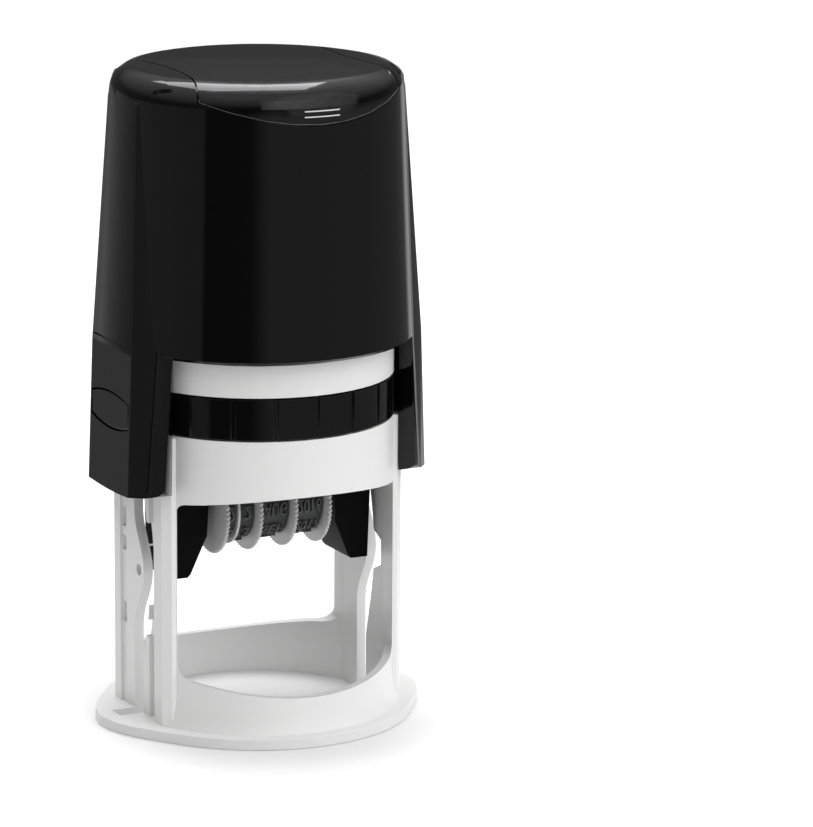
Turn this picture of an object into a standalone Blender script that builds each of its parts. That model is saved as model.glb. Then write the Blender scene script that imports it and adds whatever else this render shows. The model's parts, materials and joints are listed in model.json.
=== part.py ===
"""Self-inking date and time stamp machine: white frame, black press cap, flipping carrier with
four date bands and a toothed time ring, and a sliding ink pad cassette.

The object stands upright at rest. +Z is up, the front is -Y, and the origin is on the ground in
the middle of the foot. All lengths are in metres and all angles in degrees.
"""

import math

import bmesh
import bpy
from mathutils import Matrix, Vector

for old in list(bpy.data.objects):
    bpy.data.objects.remove(old, do_unlink=True)

# Clearances
SEAT_GAP = 0.0003
RUN_GAP = 0.0003
RUN_FIT = 0.0001
OVERRUN = 0.002
MERGE = 0.000001
FLAT_DEG = 0.05

# Press stroke and printing face
STROKE = 0.0404
FACE_REACH = 0.0085
PIVOT_Z = STROKE + FACE_REACH
FACE_Z = PIVOT_Z + FACE_REACH
INKING_GAP = 0.0025

# Foot
PAD_STAND = 0.0002
FOOT_HEIGHT = 0.0019
FOOT_TOP = PAD_STAND + FOOT_HEIGHT
FOOT_R = 0.0285
FOOT_EDGE_ROUND = 0.0006
EAR_REACH = 0.0314
EAR_SPREAD_DEG = 42
EAR_SHAPE_POWER = 1.5
FOOT_PAD_LENGTH = 0.0060
FOOT_PAD_WIDTH = 0.0022
FOOT_PAD_DEPTH = 0.0007
FOOT_PAD_R = 0.0252
FOOT_PAD_ANGLE_DEG = 40

# Frame wall
WALL_R = 0.0249
WALL = 0.0016
WALL_IN = WALL_R - WALL
COVE_R = 0.0270
COVE_HEIGHT = 0.0063
COLLAR_STEP = 0.0010
COLLAR_DROP = 0.0008
COLLAR_HEIGHT = 0.0023
LOWER_BAND = 0.0105
PAD_LIP = 0.0012
PAD_BAND = 0.0080
UPPER_BAND = 0.00665
PAD_LOW = FACE_Z - PAD_LIP
PAD_HIGH = PAD_LOW + PAD_BAND
FRAME_SHOULDER = PAD_HIGH + UPPER_BAND
FRAME_TOP = FRAME_SHOULDER + COLLAR_HEIGHT
DECK = 0.0018

# Frame side plates and corner posts
PLATE_OUT = 0.0236
PLATE = 0.0018
PLATE_IN = PLATE_OUT - PLATE
POST_OUT = 0.0241
POST_REACH = 0.0120
POST_FRONT_WIDTH = 0.0048
POST_REAR_WIDTH = 0.0040
POST_CHAMFER = 0.0014
POST_DROP = 0.0004
POST_TOP = PAD_LOW - POST_DROP
NOTCH_DEPTH = 0.0008
NOTCH_WIDTH = 0.0018
NOTCH_SHARES = ((0.31, 0.38), (0.555, 0.605), (0.635, 0.70))
FINGER_END = 0.0039
FINGER_POCKET = 0.0013
FINGER_POCKET_SHARES = ((0.305, 0.365), (0.62, 0.69))
SIDE_HOLE_R = 0.0011
SIDE_HOLE_BEHIND = 0.0024
LEDGE = 0.0010
LEDGE_REACH = 0.0014
PUSH_WINDOW_HALF = 0.0150
PAD_FRONT_CUT = 0.0104

# Spring
SPRING_R = 0.0088
SPRING_WIRE_R = 0.0006
SPRING_TURNS = 7
SPRING_POINTS = 10
SPRING_SEAT_RIM = 0.0012
SPRING_SEAT_HEIGHT = 0.0012
SPRING_POST = 0.0010
SPRING_POST_HEIGHT = 0.0026
SPRING_BEVEL_STEPS = 1
SPRING_END_TURNS = 0.75
SPRING_END_RISE = 2.05

# Windows, seen from the front
WINDOW_EDGE = 0.0001
WINDOW_HALF = PLATE_IN - WINDOW_EDGE
WINDOW_LOW = 0.0084
WINDOW_LOW_RISE = 0.0030
WINDOW_HIGH = PAD_LOW - LOWER_BAND
WINDOW_HIGH_DROP = 0.0021
WINDOW_LOW_CORNER = 0.0030
WINDOW_HIGH_CORNER = 0.0012

# Crank and the slot that it runs in
CRANK = 0.0032
NECK_R = 0.0009
NECK_CLEAR = 0.0003
SLOT_FRONT = 0.0012
SLOT_REAR = 0.0026
SLOT_BUMP = 0.0043
SLOT_BUMP_HALF = 0.0110
EAR_SLOT_END = 0.0283
FINGER_GAP_REACH = POST_REACH - POST_FRONT_WIDTH
FINGER_SLANT = 0.0014
FINGER_TURN_DEG = 68

# Cap
CAP_LOW = FRAME_SHOULDER
CAP_HEIGHT = 0.0501
CAP_TOP = CAP_LOW + CAP_HEIGHT
CAP_LOW_R = FOOT_R
CAP_HIGH_R = 0.0267
CAP_CORNER = 0.0046
CAP_DOME = 0.0004
CAP_WALL = 0.0015
CAP_ROOF = 0.0032
CAP_THICKER_BELOW = 0.0083
CAP_THICKER = 0.0010
CAP_LIP_R = WALL_R + 0.0007
CAP_LIP = 0.0006
CAP_STEPS = 48
RIM_ROUND = 0.0005
SEAM_RISE = 0.0010
SEAM_DEPTH = 0.0002
SEAM_WIDTH = 0.0003
SPRING_BOSS_DEPTH = 0.0040

# Cap legs, each seen from above at its foot, at the cap's rim and at the cap's top. An outline's
# corners are the end of its flat side, the crease, the front corner and the inner corner.
LEG_FOOT_GAP = 0.0043
LEG_CORNER = 0.0026
LEG_INNER = (0.0226, 0.0121)
LEG_LOW = STROKE + LEG_FOOT_GAP
LEG_LOW_CORNERS = ((0.0299, 0.0089), (0.0276, 0.0117), (0.02545, 0.0152), LEG_INNER)
LEG_RIM_CORNERS = ((0.02898, 0.0089), (0.02575, 0.0121), (0.0238, 0.01575), LEG_INNER)
LEG_TOP_CORNERS = ((0.0264, 0.0060), (0.0246, 0.0090), (0.0225, 0.0125), LEG_INNER)
LEG_EDGE_ROUND = 0.0005
LEG_BOW = 0.0009
LEG_CROWN_OUT = 0.0005
LEG_TOP_DROP = 0.0005

# Cranks and pivot pins
PIVOT_R = 0.0016
CRANK_PLATE = 0.0015
CRANK_HUB_R = 0.0030
CRANK_TIP_R = 0.0015
CRANK_IN = PLATE_OUT + RUN_GAP
CRANK_OUT = CRANK_IN + CRANK_PLATE
PIVOT_PIN_LENGTH = 0.0040
NECK_DEPTH = 0.0044
CRANK_POCKET_HALF = 0.0096

# Lock buttons
BUTTON_BELOW = 0.01145
BUTTON_HALF = 0.0080
BUTTON_MIDDLE = 0.00315
BUTTON_END = 0.0020
BUTTON_FLANGE_IN = 0.0025
BUTTON_FLANGE = 0.0007
BUTTON_FLANGE_RIM = 0.0008
BUTTON_Z = CAP_LOW - BUTTON_BELOW

# Index cover and card
COVER = 0.0007
COVER_HALF = 0.0170
COVER_FLARE = 0.0028
COVER_FLARE_AT = 0.0184
COVER_LIP_BELOW = 0.00765
COVER_LIP_RISE = 0.0038
COVER_LIP_AT = 0.0195
COVER_GAP = SEAT_GAP
CARD = 0.00025
CARD_HALF_X = 0.0140
CARD_HALF_Y = 0.0160

# Ink pad cassette
FELT_Z = FACE_Z + INKING_GAP
FELT = 0.0021
FELT_R = 0.0205
FELT_STAND = 0.0002
TRAY_LOW = FELT_Z + FELT_STAND
TRAY_HALF = PLATE_IN - RUN_GAP
TRAY_R = WALL_IN - RUN_GAP
TRAY_FRONT_R = WALL_R + 0.0002
TRAY_FRONT_HALF = 0.0223
TRAY_FRONT_Y = 0.0107
TRAY_FRONT_WALL = 0.0014
TRAY_HIGH = PAD_HIGH - RUN_GAP
FELT_POCKET = 0.0004
GRIP_STEP_DEG = 17.6
GRIP_COUNT = 7
GRIP_WIDTH = 0.0008
GRIP_DEPTH = 0.0004

# Carrier
HUB_R = 0.0143
DISC_R = 0.0200
DISC_FROM_PIVOT = 0.0030
DISC = 0.0012
HUB = 0.0020
CHEEK_OUT = 0.0199
CHEEK_THICK = 0.00395
CHEEK_HALF = 0.0070
CHEEK_LOW_HALF = 0.0052
CHEEK_DROP = 0.0211
CHEEK_GUSSET = 0.0036
CHEEK_GUSSET_LOW = 0.0076
CHEEK_TOE = 0.0006
DATE_Y = -0.0025
DATE_HOLE_HALF = 0.0046

# Time ring and die
RING_TEETH = 75
RING_R = 0.0213
RING_TOOTH = 0.0005
RING_IN = HUB_R + RUN_FIT
RING_FLANGE = 0.0021
RING_RIM = 0.0015
RING_EDGE_R = 0.0206
RING_EDGE = 0.0006
RING_RIM_DROP = 0.0004
DIE_OUT = RING_EDGE_R - RING_EDGE - SEAT_GAP
DIE_IN = RING_IN + RING_RIM + SEAT_GAP
DIE_SEAT = SEAT_GAP

# Face plate, arrow plate
FACE_PLATE = 0.0008
FACE_PLATE_R = RING_IN - SEAT_GAP
WINDOW_X = 0.0102
WINDOW_Y = 0.0033
ARROW_HALF = 0.0075
ARROW_Y = 0.0036
ARROW_SHORT = 0.0036
ARROW_LONG = 0.0056

# Date wheels: the first disc's middle along the axle, and the steps to the next ones
AXLE_R = 0.0010
AXLE_COVERED = 0.0014
WHEEL_BELOW = 0.0093
DRUM_R = 0.0046
DISC_WHEEL_R = 0.0083
WHEEL_TOOTH = 0.0005
WHEEL_TEETH = 32
WHEEL_DISC = 0.0008
THIN_DISC = 0.0004
THIN_DISC_PROUD = 0.0003
DISC_SPACING = (0.0028, 0.0039, 0.0070, 0.0068)
FIRST_DISC_X = -0.0107
WHEEL_NAMES = ("tens", "units", "month", "year")

# Date bands
BAND = 0.0010
TYPE_HEIGHT = 0.0005
TYPE_GAP = 0.0008
TYPE_COUNT = 14
TYPE_FACE_HALF = 0.0023
PLATEN_HALF = 0.0011
PLATEN_ROUND = 0.0006
PLATEN_DEPTH = 0.0022
PLATEN_END = 0.0016

# Circle steps
FINE_STEPS = 60
COVE_STEPS = 4
FOOT_STEPS = 72
ROUND_STEPS = 45
SMALL_STEPS = 20
BORE_STEPS = 16

SHAPES = bpy.data.collections.new("date_time_stamp")
CUTTERS = bpy.data.collections.new("cutters")
bpy.context.scene.collection.children.link(SHAPES)
bpy.context.scene.collection.children.link(CUTTERS)


def finish(name, colour, roughness, metallic=0.0):
    """A Principled material in the part's colour."""
    material = bpy.data.materials.new(name)
    material.use_nodes = True
    shader = material.node_tree.nodes["Principled BSDF"]
    shader.inputs["Base Color"].default_value = (*colour, 1.0)
    shader.inputs["Roughness"].default_value = roughness
    shader.inputs["Metallic"].default_value = metallic
    return material


def object_from(name, mesh):
    made = bpy.data.objects.new(name, mesh)
    CUTTERS.objects.link(made)
    made.hide_render = True
    made.display_type = "WIRE"
    return made


def from_bmesh(name, shape):
    mesh = bpy.data.meshes.new(name)
    bmesh.ops.recalc_face_normals(shape, faces=shape.faces)
    shape.to_mesh(mesh)
    shape.free()
    return object_from(name, mesh)


def block(name, low, high):
    """A box between two corners."""
    shape = bmesh.new()
    bmesh.ops.create_cube(shape, size=1.0)
    low, high = Vector(low), Vector(high)
    size = high - low
    bmesh.ops.scale(shape, vec=size, verts=shape.verts)
    bmesh.ops.translate(shape, vec=(low + high) / 2, verts=shape.verts)
    return from_bmesh(name, shape)


def rod(name, radius, start, end, steps=SMALL_STEPS):
    """A cylinder from one point to another."""
    start, end = Vector(start), Vector(end)
    shape = bmesh.new()
    bmesh.ops.create_cone(shape, cap_ends=True, segments=steps, radius1=radius, radius2=radius,
                          depth=(end - start).length)
    turn = Vector((0, 0, 1)).rotation_difference(end - start).to_matrix().to_4x4()
    bmesh.ops.transform(shape, matrix=Matrix.Translation((start + end) / 2) @ turn, verts=shape.verts)
    return from_bmesh(name, shape)


def turned(name, profile, steps=FINE_STEPS):
    """A profile of (radius, height) points turned about Z with a Screw modifier. It runs down its
    outer side, and closes on itself unless both its ends are on the axis."""
    mesh = bpy.data.meshes.new(name)
    count = len(profile)
    closed = profile[0][0] > 0 or profile[-1][0] > 0
    edges = [(i, (i + 1) % count) for i in range(count if closed else count - 1)]
    mesh.from_pydata([(radius, 0, height) for radius, height in profile], edges, [])
    made = object_from(name, mesh)
    screw = made.modifiers.new("turn", "SCREW")
    screw.steps = steps
    screw.render_steps = steps
    screw.use_merge_vertices = True
    screw.merge_threshold = 0.00001
    screw.use_smooth_shade = False
    return baked(made)


def baked(made):
    """The object with its modifiers worked into its mesh."""
    bpy.context.view_layer.update()
    graph = bpy.context.evaluated_depsgraph_get()
    mesh = bpy.data.meshes.new_from_object(made.evaluated_get(graph))
    made.modifiers.clear()
    made.data = mesh
    return made


UPRIGHT = Matrix.Identity(4)
# Columns are where the outline's own right, up and thickness directions point.
FROM_FRONT = Matrix(((1, 0, 0, 0), (0, 0, 1, 0), (0, 1, 0, 0), (0, 0, 0, 1)))
FROM_SIDE = Matrix(((0, 0, 1, 0), (1, 0, 0, 0), (0, 1, 0, 0), (0, 0, 0, 1)))


def slab(name, outlines, low, high, facing=UPRIGHT):
    """Flat outlines as a filled 2D curve, given a thickness from low to high. Facing UPRIGHT they
    lie in XY, FROM_FRONT in XZ with the thickness along Y, FROM_SIDE in YZ with it along X."""
    curve = bpy.data.curves.new(name, "CURVE")
    curve.dimensions = "2D"
    curve.fill_mode = "BOTH"
    curve.extrude = (high - low) / 2
    for outline in outlines:
        spline = curve.splines.new("POLY")
        spline.points.add(len(outline) - 1)
        for point, (across, up) in zip(spline.points, outline):
            point.co = (across, up, 0, 1)
        spline.use_cyclic_u = True
    drawn = bpy.data.objects.new(name, curve)
    CUTTERS.objects.link(drawn)
    drawn.matrix_world = facing @ Matrix.Translation((0, 0, (low + high) / 2))
    bpy.context.view_layer.update()
    graph = bpy.context.evaluated_depsgraph_get()
    mesh = bpy.data.meshes.new_from_object(drawn.evaluated_get(graph))
    shape = bmesh.new()
    shape.from_mesh(mesh)
    bmesh.ops.transform(shape, matrix=drawn.matrix_world, verts=shape.verts)
    bmesh.ops.remove_doubles(shape, verts=shape.verts, dist=0.000001)
    bpy.data.objects.remove(drawn, do_unlink=True)
    return from_bmesh(name, shape)


def handed(name, side, low, high):
    """A box given for the right side, made on the right (side 1) or on the left (side -1)."""
    xs = sorted((side * low[0], side * high[0]))
    return block(name, (xs[0], low[1], low[2]), (xs[1], high[1], high[2]))


def boolean(target, other, operation):
    step = target.modifiers.new(operation.lower(), "BOOLEAN")
    step.operation = operation
    step.solver = "EXACT"
    step.object = other
    return baked(target)


def tidied(target):
    """Flat neighbours merged into one face, and points closer than a micrometre into one."""
    shape = bmesh.new()
    shape.from_mesh(target.data)
    bmesh.ops.remove_doubles(shape, verts=shape.verts, dist=MERGE)
    bmesh.ops.dissolve_degenerate(shape, edges=shape.edges, dist=MERGE)
    bmesh.ops.dissolve_limit(shape, angle_limit=math.radians(FLAT_DEG), verts=shape.verts, edges=shape.edges)
    bmesh.ops.triangulate(shape, faces=[face for face in shape.faces if len(face.verts) > 4])
    shape.to_mesh(target.data)
    shape.free()
    return target


def cut(target, *others):
    for other in others:
        boolean(target, other, "DIFFERENCE")
    return target


def join(target, *others):
    for other in others:
        boolean(target, other, "UNION")
    return target


def keep_common(target, *others):
    for other in others:
        boolean(target, other, "INTERSECT")
    return target


def rounded(target, width, segments=2, angle_deg=40):
    """Rounded edges on every edge sharper than the angle."""
    bevel = target.modifiers.new("round", "BEVEL")
    bevel.width = width
    bevel.segments = segments
    bevel.limit_method = "ANGLE"
    bevel.angle_limit = math.radians(angle_deg)
    bevel.harden_normals = False
    return baked(target)


def piece(made, name, material, pivot=(0, 0, 0), sharp_deg=35):
    """Makes a shape a finished sub-part: named, shaded, with its origin on its joint's axis."""
    made.name = name
    made.data.name = name
    made.data.materials.clear()
    made.data.materials.append(material)
    pivot = Vector(pivot)
    made.data.transform(Matrix.Translation(-pivot))
    made.location = pivot
    made.hide_render = False
    made.display_type = "TEXTURED"
    CUTTERS.objects.unlink(made)
    SHAPES.objects.link(made)
    made.data.shade_smooth()
    made.data.set_sharp_from_angle(angle=math.radians(sharp_deg))
    return made


def arc(centre, radius, start_deg, end_deg, steps):
    """Points of an arc, both ends included."""
    points = []
    for i in range(steps + 1):
        angle = math.radians(start_deg + (end_deg - start_deg) * i / steps)
        points.append((centre[0] + radius * math.cos(angle), centre[1] + radius * math.sin(angle)))
    return points


def circle(radius, steps=ROUND_STEPS, centre=(0, 0)):
    return arc(centre, radius, 0, 360, steps)[:-1]


def foot_outline():
    """Round foot whose radius swells into an ear on each side, as a raised cosine to a power."""
    points = []
    for i in range(FOOT_STEPS):
        angle = 360 * i / FOOT_STEPS
        off_axis = min(angle % 180, 180 - angle % 180)
        swell = 0.0
        if off_axis < EAR_SPREAD_DEG:
            swell = (0.5 + 0.5 * math.cos(math.pi * off_axis / EAR_SPREAD_DEG)) ** EAR_SHAPE_POWER
        radius = FOOT_R + (EAR_REACH - FOOT_R) * swell
        points.append((radius * math.cos(math.radians(angle)), radius * math.sin(math.radians(angle))))
    return points


def window_outline():
    """Window seen from the front: a bowed sill and head, with rounded corners."""
    def sill(x):
        return WINDOW_LOW + WINDOW_LOW_RISE * (x / WINDOW_HALF) ** 2

    def head(x):
        return WINDOW_HIGH - WINDOW_HIGH_DROP * (x / WINDOW_HALF) ** 2

    low_x = WINDOW_HALF - WINDOW_LOW_CORNER
    high_x = WINDOW_HALF - WINDOW_HIGH_CORNER
    bow = 10
    points = [(low_x * (2 * i / bow - 1), sill(low_x * (2 * i / bow - 1))) for i in range(bow + 1)]
    points += arc((low_x, sill(low_x) + WINDOW_LOW_CORNER), WINDOW_LOW_CORNER, -80, 0, 5)
    points += arc((high_x, head(high_x) - WINDOW_HIGH_CORNER), WINDOW_HIGH_CORNER, 0, 80, 3)
    points += [(high_x * (1 - 2 * i / bow), head(high_x * (1 - 2 * i / bow))) for i in range(bow + 1)]
    points += arc((-high_x, head(high_x) - WINDOW_HIGH_CORNER), WINDOW_HIGH_CORNER, 100, 180, 3)
    points += arc((-low_x, sill(low_x) + WINDOW_LOW_CORNER), WINDOW_LOW_CORNER, 180, 260, 5)
    return points


def neck_path(turn_deg):
    """Where the crank's neck is, in (y, z), when the carrier has turned this far: the pivot comes
    down in proportion to the turn."""
    turn = math.radians(turn_deg)
    return -CRANK * math.sin(turn), PIVOT_Z - STROKE * turn_deg / 180 - CRANK * math.cos(turn)


def slot_outline(bottom):
    """The S-shaped slot in (y, z). Its rear edge bulges forwards at half height, and its front
    edge stays clear of the neck, except where it opens into the gap between the two fingers."""
    half = NECK_R + NECK_CLEAR
    top = neck_path(0)[1] + half
    middle = neck_path(90)[1]

    def rear(z):
        share = min(abs(z - middle) / SLOT_BUMP_HALF, 1.0)
        return SLOT_REAR - SLOT_BUMP * (0.5 + 0.5 * math.cos(math.pi * share))

    steps = 12
    points = [(SLOT_REAR, bottom)]
    for i in range(steps + 1):
        z = middle + SLOT_BUMP_HALF * (2 * i / steps - 1)
        points.append((rear(z), z))
    points += [(SLOT_REAR, top - half / 2), (SLOT_REAR - half / 2, top)]
    points += [(half / 2 - SLOT_FRONT, top), (-SLOT_FRONT, top - half / 2)]

    def front(turn_deg):
        y, z = neck_path(turn_deg)
        return min(-SLOT_FRONT, y - half), z

    upper = [front(FINGER_TURN_DEG * i / 6) for i in range(7)]
    lower = [front(180 - FINGER_TURN_DEG * (6 - i) / 6) for i in range(7)]
    points += upper
    points += [(-FINGER_GAP_REACH, upper[-1][1] - FINGER_SLANT)]
    points += [(-FINGER_GAP_REACH, lower[0][1] + FINGER_SLANT)]
    points += lower
    points += [(-SLOT_FRONT, bottom)]
    return points


def post_outline(side, reach_sign, width):
    """Corner post seen from above, with its outer corner chamfered."""
    outer = POST_REACH
    inner = outer - width
    shape = [(PLATE_IN, inner), (POST_OUT, inner), (POST_OUT, outer - POST_CHAMFER),
             (POST_OUT - POST_CHAMFER, outer), (PLATE_IN, outer)]
    return [(side * x, reach_sign * y) for x, y in shape]


def make_base_frame(material):
    cove = [(COVE_R - (COVE_R - WALL_R) * math.sin(math.radians(90 * i / COVE_STEPS)),
             FOOT_TOP - WALL / 4
             + (COVE_HEIGHT + WALL / 4) * (1 - math.cos(math.radians(90 * i / COVE_STEPS))))
            for i in range(COVE_STEPS + 1)]
    wall_foot = PAD_STAND + FOOT_HEIGHT / 4
    profile = [(0, FRAME_TOP), (WALL_R - COLLAR_STEP, FRAME_TOP),
               (WALL_R - COLLAR_STEP, FRAME_SHOULDER - COLLAR_DROP), (WALL_R, FRAME_SHOULDER - COLLAR_DROP)]
    profile += cove[::-1]
    profile += [(COVE_R, wall_foot), (0, wall_foot)]
    frame = turned("frame_body", profile)

    reach = EAR_REACH + OVERRUN
    for side in (1, -1):
        cut(frame, handed("side_trim", side, (PLATE_OUT, -reach, -OVERRUN),
                          (reach + OVERRUN, reach, FRAME_TOP + OVERRUN)))
    foot = slab("foot", [foot_outline()], PAD_STAND, FOOT_TOP)
    rounded(foot, FOOT_EDGE_ROUND)
    join(frame, foot)
    for side in (1, -1):
        for forwards, width in ((-1, POST_FRONT_WIDTH), (1, POST_REAR_WIDTH)):
            post = slab("post", [post_outline(side, forwards, width)], PAD_STAND + FOOT_HEIGHT / 2, POST_TOP)
            join(frame, post)
    cut(frame, cavity("working_space", -OVERRUN, PAD_HIGH))
    cut(frame, cavity("spring_space", PAD_HIGH + DECK, FRAME_TOP + OVERRUN))

    cut(frame, slab("windows", [window_outline()], -reach, reach, FROM_FRONT))
    cut(frame, slab("side_slots", [slot_outline(-OVERRUN)], -PLATE_OUT - OVERRUN, PLATE_OUT + OVERRUN,
                    FROM_SIDE))
    cut(frame, block("cassette_slot", (-reach, -reach, PAD_LOW), (reach, -PAD_FRONT_CUT, PAD_HIGH)))
    cut(frame, block("cassette_way", (-PLATE_IN, -reach, PAD_LOW), (PLATE_IN, 0, PAD_HIGH)))
    cut(frame, block("push_window", (-PUSH_WINDOW_HALF, 0, PAD_LOW), (PUSH_WINDOW_HALF, reach, PAD_HIGH)))
    for side in (1, -1):
        add_side_details(frame, side)
    add_spring_seat(frame)
    tidied(frame)
    cut(frame, *[foot_pad_block("foot_pad_pocket", i, SEAT_GAP, -OVERRUN) for i in range(4)])
    return piece(tidied(frame), "base_frame", material)


def cavity(name, low, high):
    """The room inside the frame: round in front and behind, flat at the side plates."""
    room = slab(name, [circle(WALL_IN, FINE_STEPS)], low, high)
    return keep_common(room, block("between_plates", (-PLATE_IN, -WALL_R, low - OVERRUN),
                                   (PLATE_IN, WALL_R, high + OVERRUN)))


def add_side_details(frame, side):
    """What one side plate carries: cassette ledge, slot through the foot's ear, finger groove and
    notches, notches by the rear post, and the round hole behind the slot's bulge."""
    past = PLATE_OUT + OVERRUN
    ledge_top = TRAY_LOW - RUN_GAP
    join(frame, handed("tray_ledge", side, (PLATE_IN - LEDGE_REACH, -PAD_FRONT_CUT, ledge_top - LEDGE),
                       (PLATE_IN + PLATE / 2, PAD_FRONT_CUT, ledge_top)))
    cut(frame, handed("ear_slot", side, (PLATE_IN - OVERRUN, -SLOT_FRONT, -OVERRUN),
                      (EAR_SLOT_END, SLOT_REAR, FOOT_TOP + OVERRUN)))
    front_post = -POST_REACH + POST_FRONT_WIDTH
    rear_post = POST_REACH - POST_REAR_WIDTH
    cut(frame, handed("finger_groove", side, (PLATE_OUT - PLATE / 2, front_post, FOOT_TOP),
                      (past, -FINGER_END, POST_TOP)))
    for low, high in FINGER_POCKET_SHARES:
        cut(frame, handed("finger_notch", side,
                          (PLATE_OUT - PLATE / 2, -FINGER_END - OVERRUN / 2, low * POST_TOP),
                          (past, -FINGER_END + FINGER_POCKET, high * POST_TOP)))
    for low, high in NOTCH_SHARES:
        cut(frame, handed("rear_notch", side,
                          (PLATE_OUT - NOTCH_DEPTH, rear_post - NOTCH_WIDTH, low * POST_TOP),
                          (past, rear_post, high * POST_TOP)))
    hole_y = SLOT_REAR - SLOT_BUMP + SIDE_HOLE_BEHIND
    hole_z = neck_path(90)[1]
    cut(frame, rod("side_hole", SIDE_HOLE_R, (side * (PLATE_IN - OVERRUN), hole_y, hole_z),
                   (side * past, hole_y, hole_z)))


def add_spring_seat(frame):
    """A ring round the spring's foot and a low stub inside it."""
    deck_top = PAD_HIGH + DECK
    ring_in = SPRING_R + SPRING_WIRE_R + SEAT_GAP
    stub_r = SPRING_R - SPRING_WIRE_R - SPRING_POST
    ring = turned("spring_ring", [(ring_in + SPRING_SEAT_RIM, deck_top + SPRING_SEAT_HEIGHT),
                                  (ring_in + SPRING_SEAT_RIM, deck_top - DECK / 2),
                                  (ring_in, deck_top - DECK / 2),
                                  (ring_in, deck_top + SPRING_SEAT_HEIGHT)], SMALL_STEPS)
    stub = rod("spring_stub", stub_r, (0, 0, deck_top - DECK / 2), (0, 0, deck_top + SPRING_POST_HEIGHT))
    join(frame, ring, stub)


def foot_pad_block(name, index, grow, low):
    """A foot pad, or the pocket round it, lying along the foot's edge."""
    turn = math.radians(FOOT_PAD_ANGLE_DEG * (1 if index % 2 else -1) + (0 if index < 2 else 180))
    half_width = FOOT_PAD_WIDTH / 2 + grow
    half_length = FOOT_PAD_LENGTH / 2 + grow
    top = PAD_STAND + FOOT_PAD_DEPTH + grow
    made = block(name, (FOOT_PAD_R - half_width, -half_length, low),
                 (FOOT_PAD_R + half_width, half_length, top))
    made.data.transform(Matrix.Rotation(turn, 4, "Z"))
    return made


def make_foot_pads(material):
    for i in range(4):
        piece(foot_pad_block(f"foot_pad_{i + 1}", i, 0.0, 0.0), f"foot_pad_{i + 1}", material)


def softened(outline, radius, steps=2):
    """The outline with each corner replaced by an arc of this radius, or a smaller one where the
    neighbouring corners are too near."""
    points = []
    count = len(outline)
    for i in range(count):
        here = Vector(outline[i])
        before = Vector(outline[i - 1]) - here
        after = Vector(outline[(i + 1) % count]) - here
        angle = before.angle(after)
        room = min(before.length, after.length) / 2
        length = min(radius / math.tan(angle / 2), room * 0.9)
        start = here + before.normalized() * length
        end = here + after.normalized() * length
        for step in range(steps + 1):
            share = step / steps
            points.append(tuple((1 - share) ** 2 * start + 2 * share * (1 - share) * here + share ** 2 * end))
    return points


def drafted(name, sections):
    """A solid through outlines with equally many points, each given with its height."""
    shape = bmesh.new()
    rings = [[shape.verts.new((x, y, z)) for x, y in outline] for outline, z in sections]
    shape.faces.new(rings[0])
    shape.faces.new(rings[-1])
    for lower, upper in zip(rings, rings[1:]):
        for i in range(len(lower)):
            j = (i + 1) % len(lower)
            shape.faces.new((lower[i], lower[j], upper[j]))
            shape.faces.new((lower[i], upper[j], upper[i]))
    return from_bmesh(name, shape)


def cap_corner():
    return CAP_HIGH_R - CAP_CORNER, CAP_TOP - CAP_DOME - CAP_CORNER


def cap_skin(name, depth):
    """A solid with the cap's outer shape, set in by the depth."""
    corner = cap_corner()
    profile = [(0, CAP_TOP - depth), (corner[0] / 2, CAP_TOP - CAP_DOME / 4 - depth)]
    profile += arc(corner, CAP_CORNER - depth, 90, 0, 4)
    profile += [(CAP_LOW_R - depth, CAP_LOW + RIM_ROUND), (CAP_LOW_R - RIM_ROUND - depth, CAP_LOW),
                (0, CAP_LOW)]
    return turned(name, profile, CAP_STEPS)


def cap_radius(z):
    """The cap's outer radius on its tapered wall."""
    share = (z - CAP_LOW) / (cap_corner()[1] - CAP_LOW)
    return CAP_LOW_R + (CAP_HIGH_R - CAP_LOW_R) * share


def cap_room():
    """The room inside the cap, with the boss that centres the spring."""
    thicker = CAP_TOP - CAP_THICKER_BELOW
    wall_r = cap_radius(thicker) - CAP_WALL
    roof = CAP_TOP - CAP_ROOF
    boss_r = SPRING_R - SPRING_WIRE_R - SPRING_POST
    profile = [(0, roof - SPRING_BOSS_DEPTH), (boss_r, roof - SPRING_BOSS_DEPTH), (boss_r, roof),
               (cap_corner()[0] - CAP_THICKER, roof),
               (wall_r - CAP_THICKER, roof - CAP_CORNER + CAP_THICKER),
               (wall_r - CAP_THICKER, thicker + CAP_THICKER), (wall_r, thicker),
               (CAP_LOW_R - CAP_WALL, CAP_LOW + CAP_LIP), (0, CAP_LOW + CAP_LIP)]
    return turned("cap_room", profile, CAP_STEPS)


def leg_outline(side, corners):
    """A leg seen from above: flat side, shoulder, front edge, then the inner side."""
    outline = list(corners) + [(x, -y) for x, y in reversed(corners)]
    return softened([(side * x, y) for x, y in outline], LEG_EDGE_ROUND)


def leg_flat_x(z):
    """How far out a leg's flat side is at this height, below the cap's rim."""
    low, rim = LEG_LOW_CORNERS[0][0], LEG_RIM_CORNERS[0][0]
    return low + (rim - low) * (z - LEG_LOW) / (CAP_LOW - LEG_LOW)


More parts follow.
